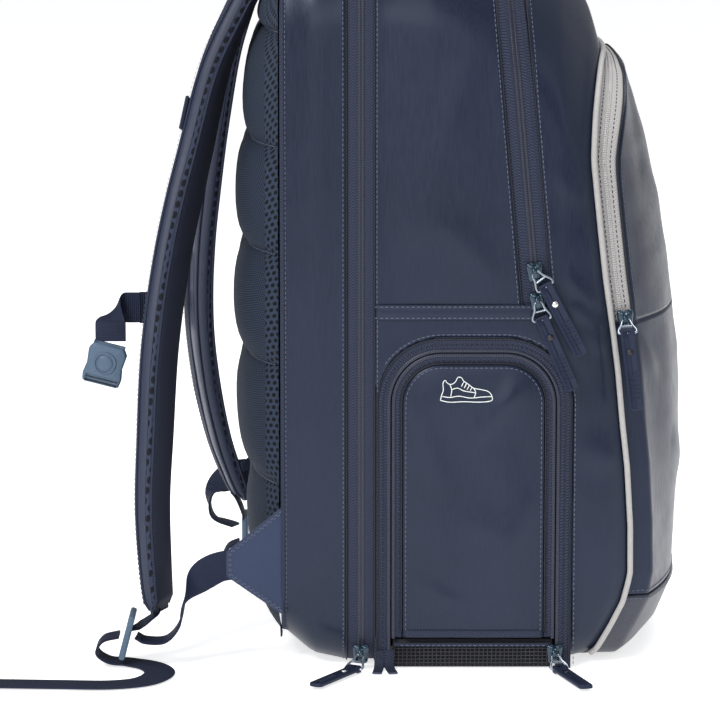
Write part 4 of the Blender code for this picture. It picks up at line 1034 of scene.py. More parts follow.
DOOR_Y = -0.1548
show(flat_band("door_tape_outer", -0.0010, 0.0092, 0.0, DOOR_Y, TAPE), "bag", "tape", "shoe_zip_tape_outer")
show(flat_band("door_tape_inner", 0.0098, 0.0165, 0.0205, DOOR_Y, TAPE), "door", "tape",
     "shoe_zip_tape_inner")
for label, offset, body_name, low in (("outer", 0.0080, "bag", 0.0), ("inner", 0.0110, "door", 0.0205)):
    pts = resample(door_line(offset, low), 400)
    line = np.stack([pts[:, 0], np.full(len(pts), DOOR_Y - 0.0002), pts[:, 1]], 1)
    coil_rows("door_coil_" + label, line, np.repeat([[0.0, -1.0, 0.0]], len(line), 0), body_name, COIL,
              rows=(0,))
for label, offset, body_name, low, look in (("a", -0.0026, "bag", 0.004, THREAD),
                                            ("b", 0.0042, "bag", 0.004, THREAD_DARK_AND_SHADE),
                                            ("c", 0.0148, "door", 0.024, THREAD_DARK_AND_SHADE)):
    pts = resample(door_line(offset, low), 300)
    line = np.stack([pts[:, 0], np.full(len(pts), DOOR_Y - (0.0018 if offset < 0 else 0.0002)), pts[:, 1]],
                    1)
    if offset < 0:
        line = line[(pts[:, 0] > DOOR_L + 0.006)]
    show(stitches("door_stitch_" + label, line, (0, -1, 0), look), body_name, "fabric")

for k, (x0, way) in enumerate(((-0.0325, (-0.10, -0.995)), (-0.0262, (0.16, -0.987)))):
    way = np.array([way[0], way[1], 0.0])
    run = smooth([(x0, -0.1552, 0.0120), (x0, -0.1560, 0.0045),
                  np.array([x0, -0.1575, 0.0014]) + way * 0.004,
                  np.array([x0, -0.1575, 0.0011]) + way * 0.016], 6)
    loose = sweep(f"door_tape_end_{k}", run, (1.0, 0.1 * (k - 0.5), 0), round_profile(0.0032, 0.0006), TAPE)
    show(loose, "bag", "tape")

# the door itself: a puffed panel, sagging a little above its hem
left, right, top, r = DOOR_L + 0.0167, DOOR_R - 0.0167, DOOR_TOP - 0.0167, DOOR_R0 - 0.0167
zs = np.concatenate([[0.0205, 0.0209, 0.0216, 0.0228, 0.0245], np.linspace(0.027, top - 0.006, 74),
                     top - np.array([0.0045, 0.003, 0.0018, 0.001, 0.0004, 0.0])])
us = np.concatenate([[0, 0.004, 0.010, 0.018, 0.03, 0.045], np.linspace(0.065, 0.935, 44),
                     1 - np.array([0.045, 0.03, 0.018, 0.010, 0.004, 0])])
door = []
for z in zs:
    inset = 0.0 if z < top - r else r - math.sqrt(max(0.0, r * r - (z - top + r) ** 2))
    x0, x1 = left + inset, right - inset
    door.append([(x0 + (x1 - x0) * u, -0.1550, z) for u in us])
door = np.array(door)
inside = np.minimum(door_distance(door[:, :, 0], door[:, :, 2], 0.0167), door[:, :, 2] - 0.0205)
inside = np.maximum(0.0, inside)
puff = 0.0062 * (1 - np.exp(-inside / 0.024)) + lip(inside, 0.0010)
creases = [((0.062, -0.155, 0.195), (0.030, -0.155, 0.150), 0.007, 0.0018),
           ((-0.012, -0.155, 0.185), (0.006, -0.155, 0.120), 0.008, 0.0014),
           ((0.068, -0.155, 0.120), (0.045, -0.155, 0.060), 0.009, 0.0016),
           ((-0.014, -0.155, 0.060), (0.030, -0.155, 0.035), 0.006, 0.0012),
           ((0.020, -0.155, 0.100), (0.055, -0.155, 0.085), 0.010, 0.0010)]
soft = 1 - np.exp(-inside / 0.012)
puff += waves(door * [1, 1, 0.6], 0.055, 51) * 0.0010 * soft + waves(door, 0.020, 52) * 0.0002 * soft
for one in creases:
    puff += fold(door, *one) * soft
door[:, :, 1] -= puff
show(thicken(grid_object("door_panel", door, SATIN), 0.0016), "door", "fabric", "shoe_door")
pts = resample(door_line(0.0190, 0.026), 300)


def door_y(x, z):
    d = (door[:, :, 0] - x) ** 2 + (door[:, :, 2] - z) ** 2
    return door[:, :, 1].ravel()[np.argmin(d)]


line = np.array([(x, door_y(x, z) - 0.0001, z) for x, z in pts])
show(stitches("door_stitch_d", line, (0, -1, 0), THREAD), "door", "fabric")
hem = np.array([[(x, door_y(x, 0.0245) - 0.0006 - 0.0006 * math.sin(math.pi * t), 0.0207 + 0.0050 * t)
                 for x in np.linspace(left + 0.001, right - 0.001, 50)] for t in np.linspace(0, 1, 5)])
show(thicken(grid_object("door_hem", hem, TAPE), 0.0010), "door", "fabric")

# a generic shoe outline printed on the door
SHOE_X, SHOE_Z = 0.0065, 0.1760
SHOE = ((0, 0.0010), (0.0006, 0.0040), (0.0018, 0.0075), (0.0016, 0.0118), (0.0030, 0.0138),
        (0.0044, 0.0120),
        (0.0068, 0.0112), (0.0094, 0.0126), (0.0112, 0.0156), (0.0134, 0.0154), (0.0150, 0.0132),
        (0.0182, 0.0110),
        (0.0212, 0.0088), (0.0262, 0.0078), (0.0306, 0.0066), (0.0328, 0.0040), (0.0326, 0.0008),
        (0.0250, -0.0002),
        (0.0150, 0.0001), (0.0060, -0.0002), (0, 0.0010))
SHOE_LINES = (((0.0006, 0.0036), (0.0060, 0.0028), (0.0120, 0.0036), (0.0190, 0.0024), (0.0260, 0.0030),
               (0.0327, 0.0034)),
              ((0.0060, 0.0112), (0.0072, 0.0078), (0.0066, 0.0034)),
              ((0.0212, 0.0088), (0.0226, 0.0060), (0.0216, 0.0028)),
              ((0.0072, 0.0078), (0.0110, 0.0088), (0.0150, 0.0070), (0.0222, 0.0058)),
              ((0.0150, 0.0130), (0.0134, 0.0098)), ((0.0168, 0.0120), (0.0152, 0.0088)),
              ((0.0186, 0.0108), (0.0170, 0.0078)), ((0.0204, 0.0096), (0.0190, 0.0072)))


def drawn_line(name, points, closed):
    run = smooth([(SHOE_X + x, 0, SHOE_Z + z) for x, z in points], 4)
    run = run[:-1] if closed else run
    return tube(name, [(x, door_y(x, z) - 0.0003, z) for x, _, z in run], 0.00032, INK, closed, 5)


drawn = [drawn_line("shoe_outline", SHOE, True)]
drawn += [drawn_line(f"shoe_line_{i}", points, False) for i, points in enumerate(SHOE_LINES)]
show(join("shoe_drawing", drawn), "door", "fabric")

# the vent under the door: a square grid of strands over a near-black sheet, painted shade for the inside
# behind it
strands = []
for i, x in enumerate(np.linspace(left - 0.005, right + 0.005, 38)):
    strands.append(tube(f"vent_v{i}", [(x, -0.1542, 0.0008), (x, -0.1545, 0.008), (x, -0.1542, 0.0160)],
                        0.00045, VENT, False, 5))
for i, z in enumerate(np.linspace(0.0012, 0.0155, 7)):
    strands.append(tube(f"vent_h{i}",
                        [(x, -0.1545, z) for x in np.linspace(left - 0.005, right + 0.005, 6)], 0.00045,
                        VENT,
                        False, 5))
show(join("vent_grid", strands), "bag", "vent", "shoe_vent_mesh")
# a near-black sheet behind the strands: painted shade for the bag's inside
vent_shade_sheet = np.array([[(x, -0.1528, z) for x in np.linspace(left - 0.006, right + 0.006,
                                                          12)] for z in np.linspace(0.0008, 0.019, 4)])
show(thicken(grid_object("vent_backing", vent_shade_sheet, PAINTED_SHADE), 0.0006), "bag", "vent")
hem = np.array([[(x, -0.1552 - 0.0010 * math.sin(math.pi * t), 0.0142 + 0.0027 * t)
                 for x in np.linspace(left - 0.005, right + 0.005, 50)] for t in np.linspace(0, 1, 6)])
show(thicken(grid_object("vent_hem", hem, TAPE), 0.0012), "bag", "fabric")
show(stitches("vent_stitch", np.array([(x, -0.1562, 0.0154) for x in (left, right)]), (0, -1, 0)), "bag",
     "fabric")


# ------------------------------------------------------------------ front pocket
def pocket_ring(share):
    """The pocket's girth from the piping (0) to the face's rim (1)."""
    width = PIPING_W + (POCKET_W - PIPING_W) * share - 0.0004
    top = POCKET_TOP - 0.001 - 0.002 * share
    half = outline(width, top, 0.003, 0.075 - 0.004 * share, 0.070 - 0.004 * share, 0.020)
    full = np.concatenate([half, half[-2:0:-1] * [-1, 1]])
    y, z = full[:, 0], full[:, 1]
    x = (1 - share) * piping_x(y, z) + share * front_x(y, z)
    return np.stack([x, y, z], 1)


def part_of(points, low, count):
    """The part of a closed outline above a height, over the top from the near side."""
    start = int(np.argmin(np.abs(points[:, 1]) + (points[:, 2] > 0.1) * 9))
    loop = np.roll(points[::-1], -(len(points) - 1 - start), 0)
    z = loop[:, 2]
    inside = np.where(z > low)[0]
    i, j = inside[0], inside[-1]

    def cross(a, b):
        t = (low - loop[a][2]) / (loop[b][2] - loop[a][2] + 1e-12)
        return loop[a] + (loop[b] - loop[a]) * np.clip(t, 0, 1)

    line = np.concatenate([[cross(i - 1, i)], loop[i:j + 1], [cross((j + 1) % len(loop), j)]])
    return resample(line, count)


P_COUNT = 340


def pocket_tape(name, a, b, body_name, node, inset=0.0006):
    grid = np.array([part_of(pocket_ring(a + (b - a) * t), POCKET_FOLD_Z,
                             P_COUNT) for t in np.linspace(0, 1, 7)])
    normal = grid_normals(grid)
    grid = grid - normal * inset
    obj = thicken(grid_object(name, grid, TAPE_PALE), 0.0011)
    show(obj, body_name, "grey_tape", node)
    return grid, normal


zip_rear, zn_rear = pocket_tape("pocket_tape_rear", 0.07, 0.498, "main_flap", "pocket_zip_tape_rear")
zip_front, zn_front = pocket_tape("pocket_tape_front", 0.502, 0.975, "pocket_flap", "pocket_zip_tape_front")
coil_rows("pocket_coil_rear", zip_rear[-1] + zn_rear[-1] * 0.0002, zn_rear[-1], "main_flap", COIL_PALE,
          rows=(0,),
          offset=0.0014, slot="grey_tape")
coil_rows("pocket_coil_front", zip_front[0] + zn_front[0] * 0.0002, zn_front[0], "pocket_flap", COIL_PALE,
          rows=(0,), offset=0.0014, slot="grey_tape")
for label, grid, normal, row, body_name in (("rear", zip_rear, zn_rear, 3, "main_flap"),
                                            ("front", zip_front, zn_front, 3, "pocket_flap")):
    show(stitches("pocket_stitch_" + label, grid[row], normal[row], THREAD_DARK_AND_SHADE, lift=0.0001), body_name,
         "grey_tape")

# the piping, in one length from the base over the top
radius, off, ahead = 0.0019, 0.0020, 0.0019
half = outline(PIPING_W + off, POCKET_TOP + off, 0.003 - off, 0.075, 0.070, 0.020)
full = np.concatenate([half, half[-2:0:-1] * [-1, 1]])
cord = np.stack([along_line(PIPING_LINE, full[:, 1]) + ahead + 0.013 * (1 - (full[:, 0] / PIPING_W) ** 2),
                 full[:, 0],
                 full[:, 1]], 1)
cord = part_of(cord, 0.006, 420)
piping = tube("piping_cord", cord, radius, PIPING, False, 10)
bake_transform(piping)
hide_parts("piping_near", "piping_far", "piping_arch")
flange_rows = []
for out in (0.0, 1.0):
    flange_rows.append(cord + (-1 if out else 1) * np.array([0.0016, 0, 0]) + unit(
        (cord - [0.11, 0, 0.19]) * [0, 1, 1]) * (-0.0016))
flange = thicken(grid_object("piping_flange", np.array(flange_rows), TAPE), 0.0006)
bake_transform(flange)

# the pocket's gusset and face: one sheet from the piping, over the rim and across
def rim_width(z, width=POCKET_W, top=POCKET_TOP - 0.002, corner=(0.071, 0.066), foot=0.020, low=0.003):
    if z > top - corner[1]:
        t = min(1.0, (z - (top - corner[1])) / corner[1])
        return width - corner[0] + corner[0] * math.sqrt(max(0.0, 1 - t * t))
    if z < low + foot:
        t = min(1.0, (low + foot - z) / foot)
        return width - foot + foot * math.sqrt(max(0.0, 1 - t * t))
    return width


def side_rows(z, y_sign, shares):
    """Points on the pocket's narrow side at a height, from the piping towards the face."""
    made = []
    for s in shares:
        w = PIPING_W + (POCKET_W - PIPING_W) * s - 0.0004
        width = rim_width(z, w, POCKET_TOP - 0.001 - 0.002 * s, (0.075 - 0.004 * s, 0.070 - 0.004 * s))
        y = y_sign * width
        made.append(((1 - s) * float(piping_x(y, z)) + s * float(front_x(y, z)), y, z))
    return made


def wrap_grid(z_values, shares, y_steps=90):
    """Rows of constant height, from the near piping across the face to the far piping."""
    rows = []
    for z in z_values:
        near = side_rows(z, -1, shares)
        far = side_rows(z, 1, shares)[::-1]
        width = abs(near[-1][1])
        ys = width * np.sin(np.linspace(-1, 1, y_steps) * 1.5) / math.sin(1.5)
        face = [(float(front_x(y, z)), y, z) for y in ys[1:-1]]
        line = np.array(near + face + far)
        inner = resample(line[len(near) - 2:len(line) - len(far) + 2], y_steps + 20)
        rows.append(np.concatenate([line[:len(near) - 2], inner, line[len(line) - len(far) + 2:]]))
    return np.array(rows)


def rim_distance(grid):
    """How far a point of the pocket's face is inside its rim."""
    y, z = np.abs(grid[:, :, 1]), grid[:, :, 2]
    edge = np.maximum(0.0, POCKET_W - 0.0002 - y)
    high = np.maximum(0.0, POCKET_TOP - 0.002 - z)
    corner_y, corner_z = np.maximum(0.0, y - (POCKET_W - 0.071)), np.maximum(0.0, z - (POCKET_TOP - 0.068))
    inside = 1 - np.sqrt((corner_y / 0.071) ** 2 + (corner_z / 0.066) ** 2)
    return np.minimum(np.minimum(edge, high), np.maximum(0.0, inside) * 0.068)


def dress_pocket(grid, seed, low_seam=None, high_seam=None, folds=()):
    normal = grid_normals(grid)
    z = grid[:, :, 2]
    fade = 1 - np.exp(-rim_distance(grid) / 0.012)
    lift = np.zeros_like(z)
    for seam, sign in ((low_seam, 1), (high_seam, -1)):
        if seam is not None:
            d = np.maximum(0.0, sign * (z - seam))
            lift += lip(d)
            fade = fade * (1 - np.exp(-d / 0.010))
    lift += surface_lift(grid, fade, 0.0011, seed, folds)
    lift -= fade * 0.0010
    return grid + normal * lift[:, :, None]


SIDE_SHARES = (0.0, 0.04, 0.10, 0.20, 0.32, 0.44, 0.56, 0.68, 0.78, 0.86, 0.93, 1.0)
low_z = np.concatenate([BASE_SEAM_Z + np.array([0.0002, 0.0006, 0.0012, 0.002, 0.0032, 0.005]),
                        np.linspace(BASE_SEAM_Z + 0.008, POCKET_FOLD_Z, 52)])
shared_folds = [((0.150, -0.10, 0.320), (0.158, -0.03, 0.285), 0.013, 0.0018),
                ((0.150, 0.09, 0.300), (0.158, 0.02, 0.270), 0.013, 0.0018)]
pocket_folds = [((0.128, -0.142, 0.224), (0.160, -0.11, 0.180), 0.006, 0.0024),
                ((0.128, -0.142, 0.222), (0.150, -0.135, 0.150), 0.005, 0.0020),
                ((0.130, -0.142, 0.218), (0.140, -0.140, 0.120), 0.006, 0.0016),
                ((0.164, -0.09, 0.140), (0.168, -0.03, 0.110), 0.014, 0.0020)]
pocket_folds += [((a[0], -a[1], a[2]), (b[0], -b[1], b[2]), w, h) for a, b, w, h in pocket_folds]
pocket_folds += shared_folds
lower_raw = wrap_grid(low_z, SIDE_SHARES)
lower_face = dress_pocket(lower_raw, 61, low_seam=BASE_SEAM_Z, folds=pocket_folds)
show(thicken(grid_object("pocket_lower_shell", lower_face, SATIN), 0.0016), "bag", "fabric", "pocket_lower")

upper_shares = (0.978, 0.981, 0.984, 0.988, 0.992, 0.996, 1.0)
rim_lines = [part_of(pocket_ring(s), POCKET_FOLD_Z, 260) for s in upper_shares]
rim_line = rim_lines[-1]
inner_lines = []
for t in np.linspace(0.0, 1.0, 40)[1:]:
    flat = rim_line.copy()
    flat[:, 1] = rim_line[:, 1] * (1 - t)
    flat[:, 2] = POCKET_FOLD_Z + (rim_line[:, 2] - POCKET_FOLD_Z) * (1 - t) if t else rim_line[:, 2]
    flat[:, 0] = front_x(flat[:, 1], flat[:, 2])
    inner_lines.append(flat)
upper_raw = np.array(rim_lines + inner_lines)
normal = grid_normals(upper_raw[:-1])
normal = np.concatenate([normal, normal[-1:]])
from_rim = np.concatenate([[0], np.cumsum(np.linalg.norm(np.diff(upper_raw[:, 130], axis=0),
                                                         axis=1))])[:, None]
from_low = np.clip((upper_raw[:, :, 2] - POCKET_FOLD_Z) / 0.012, 0, 1)
fade = 1 - np.exp(-rim_distance(upper_raw) / 0.012)
lift = lip(from_rim, 0.0009) * from_low - fade * 0.0010 + surface_lift(
    upper_raw, fade, 0.0011, 61,
    folds=pocket_folds)
upper_face = upper_raw + normal * lift[:, :, None]
show(thicken(grid_object("pocket_flap_face", upper_face, SATIN), 0.0016), "pocket_flap", "fabric",
     "pocket_upper")
for label, offset in (("a", 4), ("b", 7)):
    show(stitches("pocket_rim_stitch_" + label, upper_face[offset], normal[offset], THREAD), "pocket_flap",
         "fabric")

# the coated base panel, from the floor up to its seam
base_z = np.concatenate([np.linspace(0.0032, BASE_SEAM_Z - 0.006, 22),
                         BASE_SEAM_Z - np.array([0.0036, 0.002, 0.001, 0.0004, 0.0])])
base_raw = wrap_grid(base_z, SIDE_SHARES)
base_n = grid_normals(base_raw)
d = np.maximum(0.0, BASE_SEAM_Z - base_raw[:, :, 2])
base = base_raw + base_n * (lip(d, 0.0008) + 0.0009 + surface_lift(base_raw, 1 - np.exp(-d / 0.01), 0.0004,
                                                                   71))[:, :, None]
base[:, :, 2] = np.maximum(base[:, :, 2], 0.0012)
show(thicken(grid_object("base_leather", base, LEATHER), 0.0018), "bag", "base", "base_panel")
for label, row, grid, body_name, look in (("low", len(base) - 4, base, "bag", THREAD),
                                          ("up", 4, lower_face, "bag", THREAD)):
    show(stitches("base_stitch_" + label, grid[row], grid_normals(grid)[row], look), body_name, "fabric")


# ------------------------------------------------------------------ padded back
PAD_SEAMS = (0.0140, 0.1190, 0.1970, 0.2690, 0.3380, 0.4110, 0.4400)


def pad_depth(y, z):
    table = np.array(((0.010, 0.012), (0.045, 0.019), (0.120, 0.0285), (0.230, 0.0325), (0.330, 0.0300),
                      (0.410, 0.0205), (0.430, 0.0120), (0.440, 0.0040)))
    fullness = np.interp(z, table[:, 0], table[:, 1])
    side = np.minimum(1.0, np.abs(y) / 0.1475)
    return np.maximum(0.0028, fullness * (1 - side ** 5))


def simulate(obj, pressure=4.0, voxel=0.005, cap=0.006, frames=20, pinned=None):
    """Swells a closed pad with cloth pressure, never further than cap from where it started."""
    remesh = obj.modifiers.new("remesh", "REMESH")
    remesh.mode = "VOXEL"
    remesh.voxel_size = voxel
    remesh.use_smooth_shade = True
    graph = bpy.context.evaluated_depsgraph_get()
    mesh = bpy.data.meshes.new_from_object(obj.evaluated_get(graph))
    obj.modifiers.clear()
    obj.data = mesh
    start = np.empty(len(mesh.vertices) * 3)
    mesh.vertices.foreach_get("co", start)
    start = start.reshape(-1, 3)
    cloth = obj.modifiers.new("cloth", "CLOTH")
    cloth.settings.quality = 5
    cloth.settings.mass = 0.3
    cloth.settings.tension_stiffness = 15
    cloth.settings.compression_stiffness = 8
    cloth.settings.bending_stiffness = 0.6
    cloth.settings.use_pressure = True
    cloth.settings.uniform_pressure_force = pressure
    cloth.settings.effector_weights.gravity = 0.0
    if pinned is not None:
        group = obj.vertex_groups.new(name="pin")
        for i in np.where(pinned(start))[0]:
            group.add([int(i)], 1.0, "REPLACE")
        cloth.settings.vertex_group_mass = "pin"
    cloth.point_cache.frame_start, cloth.point_cache.frame_end = 1, frames
    for f in range(1, frames + 1):
        scene.frame_set(f)
    graph = bpy.context.evaluated_depsgraph_get()
    made = bpy.data.meshes.new_from_object(obj.evaluated_get(graph))
    obj.modifiers.clear()
    obj.vertex_groups.clear()
    end = np.empty(len(made.vertices) * 3)
    made.vertices.foreach_get("co", end)
    move = end.reshape(-1, 3) - start
    far = np.linalg.norm(move, axis=1, keepdims=True)
    end = start + move * np.minimum(1.0, cap / np.maximum(far, 1e-9))
    made.vertices.foreach_set("co", end.ravel())
    obj.data = made
    scene.frame_set(1)
    return obj


# each pad is a closed, crowned cushion between two seams; the mesh cloth is drawn over all of them
heights = []
for low, high in zip(PAD_SEAMS, PAD_SEAMS[1:]):
    t = np.array([0, 0.012, 0.03, 0.06, 0.10, 0.16, 0.24, 0.34, 0.44, 0.56, 0.66, 0.76, 0.84, 0.90, 0.94,
                  0.97, 0.988])
    heights += list(low + (high - low) * t)
heights = np.array(heights + [PAD_SEAMS[-1]])
ys = np.sin(np.linspace(-1, 1, 81) * 1.42) / math.sin(1.42)
rows = []
for z in heights:
    low, high = next(p for p in zip(PAD_SEAMS, PAD_SEAMS[1:]) if z <= p[1] + 1e-9)
    t = (z - low) / (high - low)
    # the seam pulls the face in, and the pad swells between two seams
    pinch = 0.0072 * abs(2 * t - 1) ** 5
    swell = 0.0024 * math.sin(math.pi * t) ** 0.8
    corner = 0.1475 - 0.020 * max(0.0, (0.05 - z) / 0.036) ** 2
    y = corner * ys
    depth = pad_depth(y * 0.1475 / corner, z)
    near_edge = 1 - np.exp(-(1 - np.abs(ys)) / 0.10)
    depth = np.maximum(0.0016, depth + (swell - pinch) * near_edge)
    rows.append(np.stack([BACK_X - 0.0004 - depth, y, np.full(len(y), z)], 1))
pad = np.array(rows)
pad_n = grid_normals(pad, (0.1, 0, 0.2))
pad_soft = np.clip(pad_depth(pad[:, :, 1], pad[:, :, 2]) / 0.01, 0, 1)
pad = pad + pad_n * (waves(pad, 0.045, 81) * 0.0005 * pad_soft)[:, :, None]


def back_mesh():
    n = Net("back_air_mesh", (0.016, 0.024, 0.042), 0.85, Specular_IOR_Level=0.25)
    u, v = n.uv()
    big = n.holes(u, v, 0.0058, 0.0040, 0.24)
    fine = n.holes(u, v, 0.0021, 0.0015, 0.22)
    place = n.node("SeparateXYZ")
    n.link(n.place(), place.inputs[0])
    edge = n.step(n.math("MULTIPLY", place.outputs[0], -1.0), 0.1065, 0.1055)
    mix = n.math("ADD", n.math("MULTIPLY", big, edge),
                 n.math("MULTIPLY", fine, n.math("SUBTRACT", 1.0, edge)))
    n.tint(mix, 0.10, 1.45)
    n.bump(mix, 0.0008, 1.0)
    n.bump(n.noise(40, 3), 0.001, 0.2)
    return n.mat


BACK_MESH = back_mesh()
cushion = grid_object("back_cushion", pad, BACK_MESH)
# a cloth simulation swells the foam of each pad, and the mesh cloth then follows it
inner = bpy.data.meshes.new("foam")
back = pad.copy()
back[:, :, 0] = BACK_X - 0.0004
r, c = pad.shape[:2]
verts = np.concatenate([pad.reshape(-1, 3), back.reshape(-1, 3)])
idx = np.arange(r * c).reshape(r, c)
faces = []
for i in range(r - 1):
    for j in range(c - 1):
        q = (idx[i, j], idx[i, j + 1], idx[i + 1, j + 1], idx[i + 1, j])
        faces += [q, tuple(a + r * c for a in q[::-1])]
border = list(idx[0]) + list(idx[1:, -1]) + list(idx[-1, :-1][::-1]) + list(idx[1:-1, 0][::-1])
for a, b in zip(border, border[1:] + border[:1]):
    faces.append((b, a, a + r * c, b + r * c))
inner.from_pydata(verts.tolist(), [], [tuple(int(k) for k in f) for f in faces])
foam = new_object("foam", inner)
simulate(foam, 4.0, 0.005, 0.006,
         pinned=lambda p: (p[:, 0] > BACK_X - 0.003) | (np.abs(p[:, 1]) > 0.142)
         | (np.min(np.abs(p[:, 2][:, None] - np.array(PAD_SEAMS)[None]), axis=1) < 0.0035))
tree = BVHTree.FromPolygons([v.co for v in foam.data.vertices],
                            [p.vertices for p in foam.data.polygons])
for v in cushion.data.vertices:
    hit = tree.ray_cast(Vector((-0.25, v.co.y, v.co.z)), Vector((1, 0, 0)))[0]
    if hit is not None and abs(hit.x - v.co.x) < 0.009 and abs(v.co.y) < 0.136:
        side = min(1.0, (0.136 - abs(v.co.y)) / 0.02)
        seam = min(1.0, min(abs(v.co.z - s) for s in PAD_SEAMS) / 0.006)
        v.co.x += (hit.x - v.co.x) * side * seam
bpy.data.objects.remove(foam)
show(cushion, "racket_flap", "foam", "back_padding")
for k, z in enumerate(PAD_SEAMS[1:-1]):
    row = int(np.argmin(np.abs(heights - z)))
    line = np.array([tuple(cushion.data.vertices[row * 81 + j].co) for j in range(6, 75)])
    # a near-black tube in the hollow of each seam: painted shade in the quilting groove
    groove = tube(f"quilt_cord_{k}", line + [0.0002, 0, 0], 0.0009, THREAD_DARK_AND_SHADE, False, 6)
    show(groove, "racket_flap", "foam")
    sewn = stitches(f"quilt_stitch_{k}", line + [-0.0007, 0, 0], (-1, 0, 0), THREAD, pitch=0.0036)
    show(sewn, "racket_flap", "foam")

# the flat back cover behind the pads and above them, with a turned edge
cover = []
for t in np.linspace(0, 1, 14):
    rim = resample(ring(0.0), 300, True)
    mid = np.array([BACK_X, 0.0, 0.26])
    scaled = mid + (rim - mid) * (1 - t * 0.985)
    scaled[:, 0] = BACK_X - 0.0002 - 0.0015 * math.sin(math.pi * min(1.0, t * 3))
    cover.append(scaled)
show(thicken(grid_object("back_cover", np.array(cover), MESH_FINE, (False, True)), 0.0004), "racket_flap",
     "fabric")
binding = tube("back_binding", resample(ring(0.0), 420, True) + [-0.0004, 0, 0], 0.0019, TAPE, True, 8)
show(binding, "racket_flap", "fabric")

# ------------------------------------------------------------------ shoulder straps
STRAP_HALF, STRAP_DEEP, STRAP_TWIST = 0.032, 0.008, 11.0
SHAPE = [(-1.0, 0.0), (-0.985, -0.38), (-0.93, -0.68), (-0.84, -0.86), (-0.7, -0.95), (-0.5, -0.99),
         (-0.25, -1.0), (0.0, -1.0),
         (0.25, -1.0), (0.5, -0.99), (0.7, -0.95), (0.84, -0.86), (0.93, -0.68), (0.985, -0.38), (1.0, 0.0),
         (0.985, 0.38), (0.93, 0.68), (0.84, 0.88), (0.7, 0.98), (0.5, 1.02), (0.25, 1.04), (0.0, 1.05),
         (-0.25, 1.04),
         (-0.5, 1.02), (-0.7, 0.98), (-0.84, 0.88), (-0.93, 0.68), (-0.985, 0.38)]


def strap_frames(spine, side, steps=9):
    points = smooth(spine, steps)
    t = tangents(points)
    share = np.linspace(0, 1, len(points))
    twist = np.radians(-STRAP_TWIST * np.clip(3 * share - 0.5, 0, 1))
    wide = np.stack([-np.sin(twist), -side * np.cos(twist), np.zeros(len(points))], 1)
    wide = unit(wide - t * np.sum(wide * t, 1, keepdims=True))
    thick = np.cross(t, wide)
    half = STRAP_HALF * (1 - 0.38 * share ** 3)
    deep = STRAP_DEEP * (1 - 0.35 * share ** 6)
    return points, t, wide, thick, half, deep, share


def strap_mesh():
    """Satin on the outer face and its edge, a band of large-hole mesh, then fine mesh inside."""
    n = Net("strap_cloth", (0.024, 0.030, 0.056), 0.5, Specular_IOR_Level=0.35)
    u, v = n.uv()
    big = n.holes(u, v, 0.0072, 0.0046, 0.27)
    fine = n.holes(u, v, 0.0021, 0.0015, 0.22)
    attribute = n.node("Attribute", attribute_name="zone")
    zone = attribute.outputs["Fac"]
    use_big = n.step(zone, 0.45, 0.55)
    use_fine = n.step(zone, 1.45, 1.55)
    satin_streak = n.noise(1.0, 3, (900, 900, 20))
    base = n.math("MULTIPLY_ADD", satin_streak, 0.5, 0.55)
    mesh = n.math("ADD", n.math("MULTIPLY", big, n.math("SUBTRACT", 1.0, use_fine)),
                  n.math("MULTIPLY", fine, use_fine))
    value = n.math("ADD", n.math("MULTIPLY", base, n.math("SUBTRACT", 1.0, use_big)),
                   n.math("MULTIPLY", mesh, use_big))
    n.tint(value, 0.16, 1.3)
    n.bump(n.math("MULTIPLY", mesh, use_big), 0.0008, 1.0)
    n.rough(use_big, 0.42, 0.85)
    n.bump(n.noise(50, 3), 0.0012, 0.25)
    return n.mat


